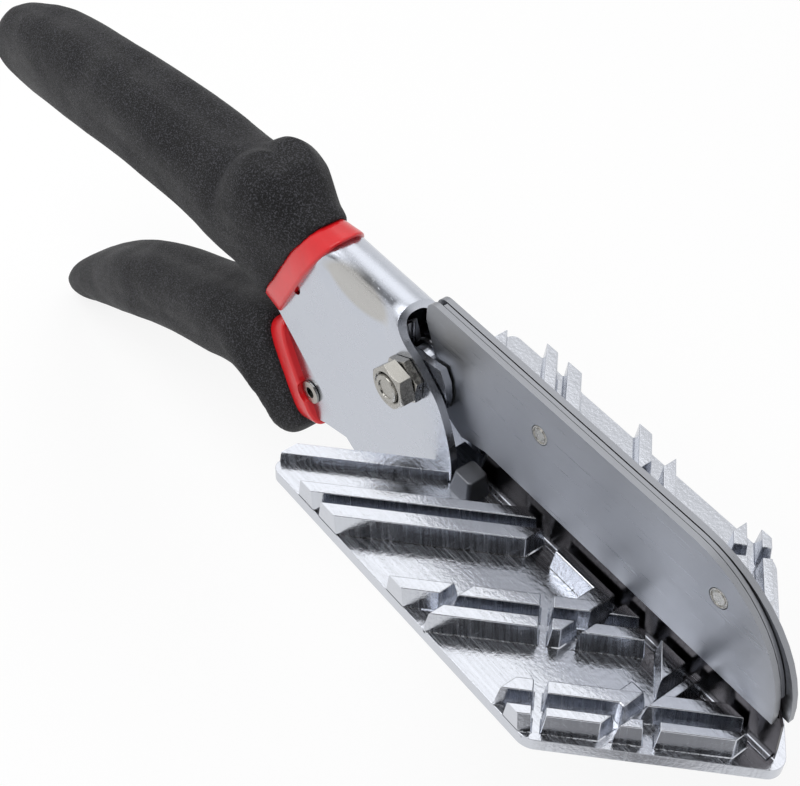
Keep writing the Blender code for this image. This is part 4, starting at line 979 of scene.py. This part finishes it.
def plate_half():
    """Near half of the chevron plate, sliced from a block, with its outer corners rounded."""
    half = block("plate", (PLATE_BACK, -HALF_BASE, 0), (APEX, 0, PLATE_THICKNESS))
    sliced(half, (APEX, 0, 0), (1, -1, 0))
    sliced(half, (NOTCH, 0, 0), (-1, 1, 0))
    on_faces(half, lambda face: face.normal.y > 0.9, bpy.ops.mesh.delete, type="ONLY_FACE")
    for x, width in ((PLATE_BACK, REAR_CORNER), (APEX - HALF_BASE, SIDE_CORNER)):
        corner = Vector((x, -HALF_BASE))
        bevelled_edges(
            half, lambda a, b: (a.xy - corner).length + (b.xy - corner).length < 0.1 * MM, width, 5
        )
    return half


def base_plate(bevel):
    """Both halves of the plate, with the slots for the handle's walls and the blade's groove."""
    plate = far_side(plate_half())
    bevelled_edges(plate, lambda a, b: min(a.x, b.x) > APEX - 0.1 * MM, NOSE_CORNER, 6)
    over_all(plate, bpy.ops.mesh.dissolve_limited, angle_limit=math.radians(1))
    for side in (-1, 1):
        low, high = sorted(side * y for y in WALL_SLOT)
        slot = block("wall_slot", (PLATE_BACK - MM, low, -MM), (NOTCH + SLOT_PAST, high, RIB_TOP))
        carved(plate, "DIFFERENCE", slot)
    carved(plate, "DIFFERENCE", block("groove", *GROOVE))
    return softened(plate, bevel, 3, 40)


def boss(bevel):
    """Small tapered block beside the heel of the blade."""
    lump = block("boss", *BOSS)
    taper = (BOSS_TAPER, BOSS_TAPER, 1)
    on_faces(lump, lambda face: face.normal.z > 0.9, bpy.ops.transform.resize, value=taper)
    bevelled_edges(lump, lambda a, b: abs(a.z - b.z) > MM, BOSS_CORNER, 4)
    return softened(lump, bevel, 3)


def cast_fences(sizes):
    """Every fence of the near half with a small fillet at its foot."""
    slope = math.tan(sizes.fence_draft)
    walls = []
    for number, points in enumerate(fence_runs() + fence_legs()):
        # Each one ends a hair below the last, so no two tops lie in one plane where they cross.
        drop = number * 0.004 * MM
        wall = fence_wall(f"fence_{number}", points, FOOT, RIB_TOP - drop, slope)
        walls.append(softened(wall, sizes.fence_bevel, 3))
        fillet_top = PLATE_THICKNESS + FILLET_RISE - drop
        walls.append(fence_wall(f"fillet_{number}", points, FOOT, fillet_top, 1, FILLET_REACH))
    low = fence_run(LOW_FENCE, [(0, 1, -FENCE_END * HALF_BASE), (-1, 0, -PLATE_BACK)])
    fence = fence_wall("low_fence", low, FOOT, LOW_FENCE_TOP, slope)
    walls.append(softened(fence, sizes.fence_bevel, 3))
    for wall in walls:
        sliced(wall, (0, -HALF_BASE + SIDE_TRIM, 0), (0, -1, 0))
        sliced(wall, (PLATE_BACK + BACK_TRIM, 0, 0), (-1, 0, 0))
    return walls


class SHEARS_OT_base(bpy.types.Operator):
    """Cast base with its fences, two bosses, the tongue between the handle's walls and the anvil bar"""

    bl_idname = "shears.base"
    bl_label = "Base casting"

    def execute(self, context):
        sizes = context.scene.shears_sizes
        colours = context.scene.shears_colours
        walls = far_side(joined("walls", *cast_fences(sizes)))
        low = (NOTCH - TONGUE_REACH, -TONGUE_HALF, TONGUE_LOW)
        high = (NOTCH + TONGUE_REACH, TONGUE_HALF, FOOT)
        tongue = softened(block("tongue", low, high), sizes.fence_bevel, 2)
        casting = within_box(joined("casting", walls, tongue, base_plate(sizes.plate_bevel)))
        chrome = chrome_plated_die_casting(colours.chrome)
        finished(casting, "cast_base", chrome, "upper_body", ["base_casting"])
        bosses = far_side(boss(sizes.fence_bevel))
        dull = unpolished_casting(colours.casting)
        finished(bosses, "cast_bosses", dull, "upper_body", [])
        zinc = bpy.data.materials["zinc_plated_pressed_steel"]
        strip = softened(from_frame("anvil_strip", "strip"), 0.12 * MM)
        finished(strip, "anvil_bar", zinc, "upper_body", ["anvil_strip"])
        return {"FINISHED"}


# Pressed handles


def rounded_bar(name, half, top, radius, x_from, x_to, z_from):
    """Long bar with its two upper edges rolled over."""
    bar = block(name, (x_from, -half, z_from), (x_to, half, top))
    return bevelled_edges(
        bar,
        lambda a, b: min(a.z, b.z) > top - 0.01 * MM and abs(a.y - b.y) < 0.01 * MM,
        radius,
        10,
    )


def channel_outline():
    front = eased([from_pivot(spot) for spot in CHANNEL_FOOT[1:] + CHANNEL_FRONT], 4)
    rest = [from_pivot(spot) for spot in CHANNEL_TOP + CHANNEL_TAIL]
    return [from_pivot(CHANNEL_FOOT[0]), *front, *rest]


def hollow_outline():
    """Room between the walls: everything below the top edge less one wall."""
    top = [from_pivot(spot) for spot in CHANNEL_TOP[:4]]
    ceiling = RIDGE - CHANNEL_WALL
    points = [(FAR_FRONT, FAR_BELOW), (FAR_FRONT, ceiling), (top[0][0], ceiling)]
    points += [(x, z - CHANNEL_WALL) for x, z in top[1:]]
    return [*points, (FAR_BACK, top[-1][1] - CHANNEL_WALL), (FAR_BACK, FAR_BELOW)]


def scored(obj, place, normal, chosen):
    """Draw a line of new points over the faces that a test on their middles chooses."""
    return on_faces(
        obj,
        lambda face: chosen(face.calc_center_median()),
        bpy.ops.mesh.bisect,
        plane_co=place,
        plane_no=normal,
    )


def pressed_dent(channel, depth):
    """Push the skin beside the ridge in along a soft hollow that dies out before the collar."""
    middle_x, middle_z = DENT_CENTRE.xz
    low = middle_z - 2 * DENT_HALF_HEIGHT
    scored(channel, (0, 0, low), (0, 0, 1), lambda middle: middle.y < 0)
    for end in (-1, 1):
        place = (middle_x + end * DENT_HALF_LENGTH, 0, 0)
        scored(channel, place, (1, 0, 0), lambda middle: middle.y < 0 and middle.z > low)

    def in_window(middle):
        return middle.y < 0 and middle.z > low and abs(middle.x - middle_x) < DENT_HALF_LENGTH

    # A net of about 0.6 by 0.4 mm lets the skin bend.
    for step in range(1, 40):
        scored(channel, (middle_x + (step / 20 - 1) * DENT_HALF_LENGTH, 0, 0), (1, 0, 0), in_window)
    for step in range(1, 16):
        scored(channel, (0, 0, low + step * 0.4 * MM), (0, 0, 1), in_window)
    lean = math.radians(COLLAR_LEAN)
    for vert in channel.data.vertices:
        if vert.co.y > -0.5 * MM or vert.co.z < low or abs(vert.co.x - middle_x) > DENT_HALF_LENGTH:
            continue
        collar = COLLAR_REAR + COLLAR_WIDTH + (vert.co.z - COLLAR_HEIGHT) * math.tan(lean)
        rear = min(1, max(0, (vert.co.x - collar) / DENT_REAR_FADE))
        front = min(1, (middle_x + DENT_HALF_LENGTH - vert.co.x) / DENT_FRONT_FADE)
        fade = rear * rear * (3 - 2 * rear) * front * front * (3 - 2 * front)
        up = (vert.co.z - middle_z) / DENT_HALF_HEIGHT
        vert.co += DENT_PUSH * depth * fade * math.exp(-(up**2))
    return channel


def upper_channel(sizes):
    """Pressed channel: a rolled bar cut to its outline, hollowed, drilled and dented."""
    radius = sizes.ridge_radius
    span = (FAR_BACK, FAR_FRONT, FAR_BELOW)
    channel = rounded_bar("channel", CHANNEL_HALF, RIDGE, radius, *span)
    carved(channel, "INTERSECT", traced("outline", channel_outline(), -FAR_ASIDE, FAR_ASIDE))
    room = rounded_bar("room", CHANNEL_INSIDE, RIDGE - CHANNEL_WALL, radius - CHANNEL_WALL, *span)
    carved(room, "INTERSECT", traced("room_outline", hollow_outline(), -FAR_ASIDE, FAR_ASIDE))
    carved(channel, "DIFFERENCE", room)
    for spot, bore in CHANNEL_HOLES:
        hole = turned_bar("hole", from_pivot(spot), bore * MM, -FAR_ASIDE, FAR_ASIDE, 48)
        carved(channel, "DIFFERENCE", hole)
    softened(channel, sizes.pressed_edge, 2, 40)
    return pressed_dent(channel, sizes.dent_depth)


class SHEARS_OT_upper_channel(bpy.types.Operator):
    """Upper handle's pressed channel, with its rolled ridge and the dent beside it"""

    bl_idname = "shears.upper_channel"
    bl_label = "Upper handle channel"

    def execute(self, context):
        # This zinc carries painted reflections: a pale one in the dent and a dark line along the ridge.
        zinc = zinc_with_painted_reflections(zinc_plated_pressed_steel(context.scene.shears_colours.zinc))
        channel = upper_channel(context.scene.shears_sizes)
        node = "upper_handle_channel"
        finished(channel, "upper_pressing", zinc, "upper_body", [node])
        return {"FINISHED"}


class SHEARS_OT_lower_channel(bpy.types.Operator):
    """Lower handle's pressed channel, which turns between the walls of the upper one"""

    bl_idname = "shears.lower_channel"
    bl_label = "Lower handle channel"

    def execute(self, context):
        zinc = bpy.data.materials["zinc_plated_pressed_steel"]
        node = "lower_handle_channel"
        channel = softened(from_frame(node, "lower"), context.scene.shears_sizes.pressed_edge, 2)
        finished(channel, "lower_pressing", zinc, "blade_arm", [node])
        return {"FINISHED"}


# Dipped grips and collars


def read_off(table, spot):
    """Value at a spot in a table of places and values, in a straight line between two rows."""
    before = table[0]
    for after in table:
        if spot <= after[0]:
            if after is before:
                return after[1]
            return before[1] + (after[1] - before[1]) * (spot - before[0]) / (after[0] - before[0])
        before = after
    return before[1]


def fuller(grip, side, table):
    """Push the two shoulders above (1) or below (-1) out along their normals."""
    pushes = []
    for vert in grip.data.vertices:
        lean = vert.normal
        share = min(1, 2.4 * abs(lean.y) * lean.z * side) if lean.z * side > 0 else 0
        pushes.append(lean * share * read_off(table, vert.co.x / MM) * MM)
    for vert, push in zip(grip.data.vertices, pushes):
        vert.co += push
    return grip


def dipped_skin(node, name, cell, above, below):
    """Solid of the frame given one soft skin with fuller shoulders, as a coat of vinyl has."""
    grip = from_frame(node, name)
    modified(grip, "REMESH", mode="VOXEL", voxel_size=cell, adaptivity=0, use_smooth_shade=True)
    modified(grip, "SMOOTH", factor=0.5, iterations=30)
    fuller(grip, 1, above)
    fuller(grip, -1, below)
    modified(grip, "SMOOTH", factor=0.5, iterations=5)
    return within_box(grip)


class SHEARS_OT_grips(bpy.types.Operator):
    """Black vinyl grips of both handles"""

    bl_idname = "shears.grips"
    bl_label = "Grips"

    def execute(self, context):
        cell = context.scene.shears_sizes.coat_cell
        black = black_plastisol_dip(context.scene.shears_colours.black_coat)
        upper = dipped_skin("upper_grip", "upper_coat", cell, UPPER_TOP, UPPER_BELOW)
        finished(upper, "upper_dip", black, "upper_body", ["upper_grip"], 80)
        lower = dipped_skin("lower_grip", "lower_coat", cell, LOWER_TOP, LOWER_BELOW)
        finished(lower, "lower_dip", black, "blade_arm", ["lower_grip"], 80)
        return {"FINISHED"}


def collar_band(name, form, width, heading, bevel):
    """Slanted band: a round bar squared off to the grip's section, with its rims rolled."""
    x, z, half_depth, half_width, lean, below, above = form
    tilt, dive = math.radians(lean), math.radians(heading)
    deselect()
    bpy.ops.mesh.primitive_cylinder_add(vertices=96, radius=1, depth=1)
    band = bpy.context.object
    for vert in band.data.vertices:
        turn = math.atan2(vert.co.y, vert.co.x)
        power = 2 / (above if turn > 0 else below)
        across = math.copysign(abs(math.cos(turn)) ** power, math.cos(turn)) * half_width
        up = math.copysign(abs(math.sin(turn)) ** power, math.sin(turn)) * half_depth
        along = width
        if vert.co.z < 0:
            along = COLLAR_TUCK
            up *= TUCK_SHARE
            across *= TUCK_SHARE
        vert.co = (
            x + up * math.sin(tilt) + along * math.cos(dive),
            across,
            z + up * math.cos(tilt) - along * math.sin(dive),
        )
    return softened(outward(placed(band, name)), bevel, 4, 50)


class SHEARS_OT_collars(bpy.types.Operator):
    """Red vinyl collars in front of the grips"""

    bl_idname = "shears.collars"
    bl_label = "Collars"

    def execute(self, context):
        bevel = context.scene.shears_sizes.collar_bevel
        red = red_plastisol_dip(context.scene.shears_colours.red_coat)
        upper = collar_band("upper_band", UPPER_COLLAR, COLLAR_WIDTH, 0, bevel)
        carved(upper, "DIFFERENCE", block("hollow", *CATCH_ROOM))
        finished(upper, "upper_red_dip", red, "upper_body", ["upper_collar"])
        lower = collar_band("lower_band", LOWER_COLLAR, COLLAR_WIDTH, LOWER_LEAN, bevel)
        for side in (-1, 1):
            ends = sorted(side * y for y in RIVET_ROOM_ENDS)
            room = turned_bar("room", from_pivot(HOLLOW_RIVET), RIVET_ROOM, *ends)
            carved(lower, "DIFFERENCE", room)
        finished(lower, "lower_red_dip", red, "blade_arm", ["lower_collar"])
        return {"FINISHED"}


# Blade and its holder


def rim_edge(radii):
    """One edge of the packing: an arc over the nose, then straight back."""
    run = []
    for step in range(21):
        turn = math.radians(13 + 77 * step / 20)
        run.append((RIM_CENTRE[0] + radii[0] * math.cos(turn), RIM_CENTRE[1] + radii[1] * math.sin(turn)))
    return [*run, (RIM_REAR, run[-1][1])]


def packing_rim():
    """Strip that fills the gap between the cheeks just inside their rim."""
    return traced("rim", rim_edge(RIM_OUTER) + rim_edge(RIM_INNER)[::-1], -RIM_HALF, RIM_HALF)


def flush_rivet(name, place, half, radius):
    """Rivet ground flush with the cheeks, with the ring that its setting tool leaves on both ends."""
    rivet = turned_bar(name, place, radius, -half, half)
    for side in (-1, 1):
        low, high = sorted((side * (half - RING_DEPTH), side * (half + MM)))
        ring = turned_bar("ring", place, radius * RING_OUTER, low, high)
        carved(ring, "DIFFERENCE", turned_bar("core", place, radius * RING_INNER, low - MM, high + MM))
        carved(rivet, "DIFFERENCE", ring)
    return softened(rivet, 0.07 * MM, 2, 40)


class SHEARS_OT_holder(bpy.types.Operator):
    """Two brushed cheeks and the spacer between them"""

    bl_idname = "shears.holder"
    bl_label = "Blade holder"

    def execute(self, context):
        edge = context.scene.shears_sizes.pressed_edge
        sheet = brushed_steel_sheet(context.scene.shears_colours.sheet)
        for side in ("near", "far"):
            node = f"holder_plate_{side}"
            cheek = softened(from_frame(node, f"{side}_sheet"), edge * 0.5, 2)
            finished(cheek, f"{side}_cheek", sheet, "blade_arm", [node])
        spacer = joined("packing", softened(from_frame("holder_spacer", "spacer"), 0.1 * MM), packing_rim())
        finished(spacer, "packing_sheet", sheet, "blade_arm", ["holder_spacer"])
        return {"FINISHED"}


class SHEARS_OT_blade(bpy.types.Operator):
    """Ground blade held between the cheeks"""

    bl_idname = "shears.blade"
    bl_label = "Blade"

    def execute(self, context):
        steel = ground_blade_steel(context.scene.shears_colours.blade)
        blade = softened(from_frame("cutting_blade", "blade_strip"), 0.06 * MM, 1, 40)
        finished(blade, "ground_blade", steel, "blade_arm", ["cutting_blade"], 20)
        return {"FINISHED"}


# Fasteners


def hex_block(name, face, seat, turn):
    """Six-sided bar with the corners of its outer face turned off at 30 degrees."""
    low, high = sorted((face, seat))
    nut = turned_bar(name, PIVOT, ACROSS_FLATS / math.sqrt(3), low, high, 6, turn)
    start = ACROSS_FLATS / 2 - NUT_LAND
    end = start + (high - low) * CHAMFER_SLOPE
    radii = (start, end) if face < seat else (end, start)
    carved(nut, "INTERSECT", turned_bar("chamfer", PIVOT, radii[0], low, high, 96, end_radius=radii[1]))
    return nut


class SHEARS_OT_pivot_bolt(bpy.types.Operator):
    """Pivot bolt, its nut and the thin nut that locks it"""

    bl_idname = "shears.pivot_bolt"
    bl_label = "Pivot bolt and nuts"

    def execute(self, context):
        nickel = dark_nickel_plated_steel(context.scene.shears_colours.nickel)
        low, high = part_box("pivot_bolt")
        end = low[1]
        shank = softened(turned_bar("shank", PIVOT, THREAD, end, SHANK_END), 0.45 * MM, 2)
        ends = (end - 0.1 * MM, end + DIMPLE_DEPTH)
        dimple = turned_bar("dimple", PIVOT, DIMPLE[0], *ends, end_radius=DIMPLE[1])
        carved(shank, "DIFFERENCE", dimple)
        head = softened(hex_block("head", high[1], HEAD_SEAT, -20), 0.15 * MM, 2)
        bolt = joined("bolt", shank, head)
        finished(bolt, "hex_bolt", nickel, "upper_body", ["pivot_bolt"])
        for node, name, turn in (("pivot_nut", "hex_nut", -20), ("jam_nut", "thin_nut", 2)):
            low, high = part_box(node)
            nut = hex_block(name, low[1], high[1], turn)
            bore = turned_bar("bore", PIVOT, THREAD + 0.2 * MM, -20 * MM, 0)
            ends = (low[1] - 0.1 * MM, low[1] + 0.6 * MM)
            mouth = turned_bar("mouth", PIVOT, THREAD + 0.7 * MM, *ends, end_radius=THREAD)
            carved(nut, "DIFFERENCE", bore, mouth)
            softened(nut, 0.13 * MM, 2)
            finished(nut, f"{name}_turned", nickel, "upper_body", [node])
        return {"FINISHED"}


class SHEARS_OT_rivets(bpy.types.Operator):
    """Rivets of the base, the holder and the lower handle"""

    bl_idname = "shears.rivets"
    bl_label = "Rivets"

    def execute(self, context):
        nickel = bpy.data.materials["dark_nickel_plated_steel"]
        for number in (1, 2):
            node = f"base_rivet_{number}"
            rivet = softened(from_frame(node, "rivet"), 0.25 * MM, 3, 25)
            finished(rivet, f"{node}_headed", nickel, "upper_body", [node], 50)
        for place in ("rear", "front"):
            node = f"holder_rivet_{place}"
            low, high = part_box(node)
            middle = ((low[0] + high[0]) / 2, (low[2] + high[2]) / 2)
            rivet = flush_rivet("rivet", middle, high[1], (high[0] - low[0]) / 2)
            finished(rivet, f"{node}_set", nickel, "blade_arm", [node], 50)
        rivet = softened(from_frame("hollow_rivet", "rivet"), 0.15 * MM, 2, 40)
        finished(rivet, "rolled_rivet", nickel, "blade_arm", ["hollow_rivet"], 50)
        redressed(nickel, "tang_rivet_1", "tang_rivet_2")
        return {"FINISHED"}


class SHEARS_OT_spring(bpy.types.Operator):
    """Opening spring and the bush that it is wound on"""

    bl_idname = "shears.spring"
    bl_label = "Spring and bush"

    def execute(self, context):
        redressed(drawn_spring_wire(hex_colour("77787c")), "torsion_spring")
        redressed(bpy.data.materials["zinc_plated_pressed_steel"], "pivot_bush")
        return {"FINISHED"}


class SHEARS_OT_catch(bpy.types.Operator):
    """Catch that locks the handles together, with its pin and washers"""

    bl_idname = "shears.catch"
    bl_label = "Lock catch"

    def execute(self, context):
        edge = context.scene.shears_sizes.pressed_edge
        zinc = bpy.data.materials["zinc_plated_pressed_steel"]
        catch = softened(from_frame("lock_catch", "hook"), edge, 2)
        finished(catch, "catch_hook", zinc, "catch", ["lock_catch"])
        redressed(zinc, "catch_washer_near", "catch_washer_far")
        redressed(bpy.data.materials["dark_nickel_plated_steel"], "catch_pin")
        return {"FINISHED"}


# Stage


def soft_lamp(name, place, aim, size, power):
    """Square soft box turned towards a place."""
    deselect()
    bpy.ops.object.light_add(type="AREA", location=place)
    lamp = bpy.context.object
    lamp.name = name
    lamp.data.name = name
    lamp.data.size = size
    lamp.data.energy = power
    lamp.rotation_euler = (Vector(aim) - Vector(place)).to_track_quat("-Z", "Y").to_euler()
    return lamp


def shadow_card(name, direction, distance, size, material):
    """Square card that faces the shears, or lies flat at a place, and shows only in bright metal."""
    deselect()
    place = Vector(direction).normalized() * distance if distance else Vector(direction)
    bpy.ops.mesh.primitive_plane_add(size=size, location=place)
    card = bpy.context.object
    if distance:
        card.rotation_euler = (-place).to_track_quat("Z", "Y").to_euler()
    placed(card, name)
    card.data.materials.append(material)
    card.visible_camera = False
    card.visible_diffuse = False
    card.visible_shadow = False
    card.visible_transmission = False
    return card


def surroundings(colour):
    """World that is white to the camera and in the metal, and lights the shears at a plainer level."""
    world = bpy.data.worlds.new("studio")
    bpy.context.scene.world = world
    world.use_nodes = True
    tree = world.node_tree
    tree.nodes.clear()
    shown = add_node(tree, "Background", {"Color": (*colour, 1), "Strength": 1})
    lit = add_node(tree, "Background", {"Color": (*colour, 1), "Strength": 0.55})
    mixed = add_node(tree, "MixShader", wires={0: in_view(tree), 1: lit, 2: shown})
    add_node(tree, "OutputWorld", wires={"Surface": mixed})


def camera_turn():
    """Aim of the camera: round the shears, down at them, and a slight roll."""
    around = Matrix.Rotation(math.radians(CAMERA_AROUND), 3, "Z")
    down = Matrix.Rotation(math.radians(90 - CAMERA_DOWN), 3, "X")
    roll = Matrix.Rotation(math.radians(CAMERA_ROLL), 3, "Z")
    return around @ down @ roll


class SHEARS_OT_stage(bpy.types.Operator):
    """Floor, cards, lamps and camera"""

    bl_idname = "shears.stage"
    bl_label = "Stage"

    def execute(self, context):
        colour = context.scene.shears_colours.backdrop
        deselect()
        bpy.ops.mesh.primitive_plane_add(size=4, location=(0, 0, CAD_BOX[0][2]))
        floor = placed(bpy.context.object, "floor")
        floor.data.materials.append(painted_floor(colour))
        tones = {
            "black": studio_card("black_studio_card", "1d1a19"),
            "grey": studio_card("grey_studio_card", "9a9a9c"),
            "pale": studio_card("pale_studio_card", "000000", 0.85),
        }
        for name, direction, distance, size, shade in CARDS:
            shadow_card(name, direction, distance, size, tones[shade])
        for lamp in LAMPS:
            soft_lamp(*lamp)
        surroundings(colour)
        deselect()
        bpy.ops.object.camera_add(location=CAMERA_PLACE)
        camera = bpy.context.object
        camera.name = "camera"
        camera.rotation_euler = camera_turn().to_euler()
        camera.data.lens = CAMERA_LENS
        camera.data.sensor_width = CAMERA_SENSOR
        camera.data.sensor_fit = "HORIZONTAL"
        context.scene.camera = camera
        context.scene.view_settings.view_transform = "Standard"
        return {"FINISHED"}


class SHEARS_PT_panel(bpy.types.Panel):
    """Steps of the model in the order in which they are made"""

    bl_idname = "SHEARS_PT_panel"
    bl_label = "Mitre Shears"
    bl_space_type = "VIEW_3D"
    bl_region_type = "UI"
    bl_category = "Mitre Shears"

    def draw(self, context):
        for step in STEPS:
            self.layout.operator(step.bl_idname)
        for group in (context.scene.shears_sizes, context.scene.shears_colours):
            for name in group.__annotations__:
                self.layout.prop(group, name)


STEPS = (
    SHEARS_OT_stage,
    SHEARS_OT_upper_channel,
    SHEARS_OT_lower_channel,
    SHEARS_OT_base,
    SHEARS_OT_grips,
    SHEARS_OT_collars,
    SHEARS_OT_holder,
    SHEARS_OT_blade,
    SHEARS_OT_pivot_bolt,
    SHEARS_OT_rivets,
    SHEARS_OT_spring,
    SHEARS_OT_catch,
)
CLASSES = (ShearsSizes, ShearsColours, *STEPS, SHEARS_PT_panel)


def register():
    for kind in CLASSES:
        bpy.utils.register_class(kind)
    bpy.types.Scene.shears_sizes = bpy.props.PointerProperty(type=ShearsSizes)
    bpy.types.Scene.shears_colours = bpy.props.PointerProperty(type=ShearsColours)


def unregister():
    del bpy.types.Scene.shears_colours
    del bpy.types.Scene.shears_sizes
    for kind in reversed(CLASSES):
        bpy.utils.unregister_class(kind)


def main():
    """Make every piece in order."""
    register()
    bpy.ops.shears.stage()
    bpy.ops.shears.upper_channel()
    bpy.ops.shears.lower_channel()
    bpy.ops.shears.base()
    bpy.ops.shears.grips()
    bpy.ops.shears.collars()
    bpy.ops.shears.holder()
    bpy.ops.shears.blade()
    bpy.ops.shears.pivot_bolt()
    bpy.ops.shears.rivets()
    bpy.ops.shears.spring()
    bpy.ops.shears.catch()


if __name__ == "__main__":
    main()
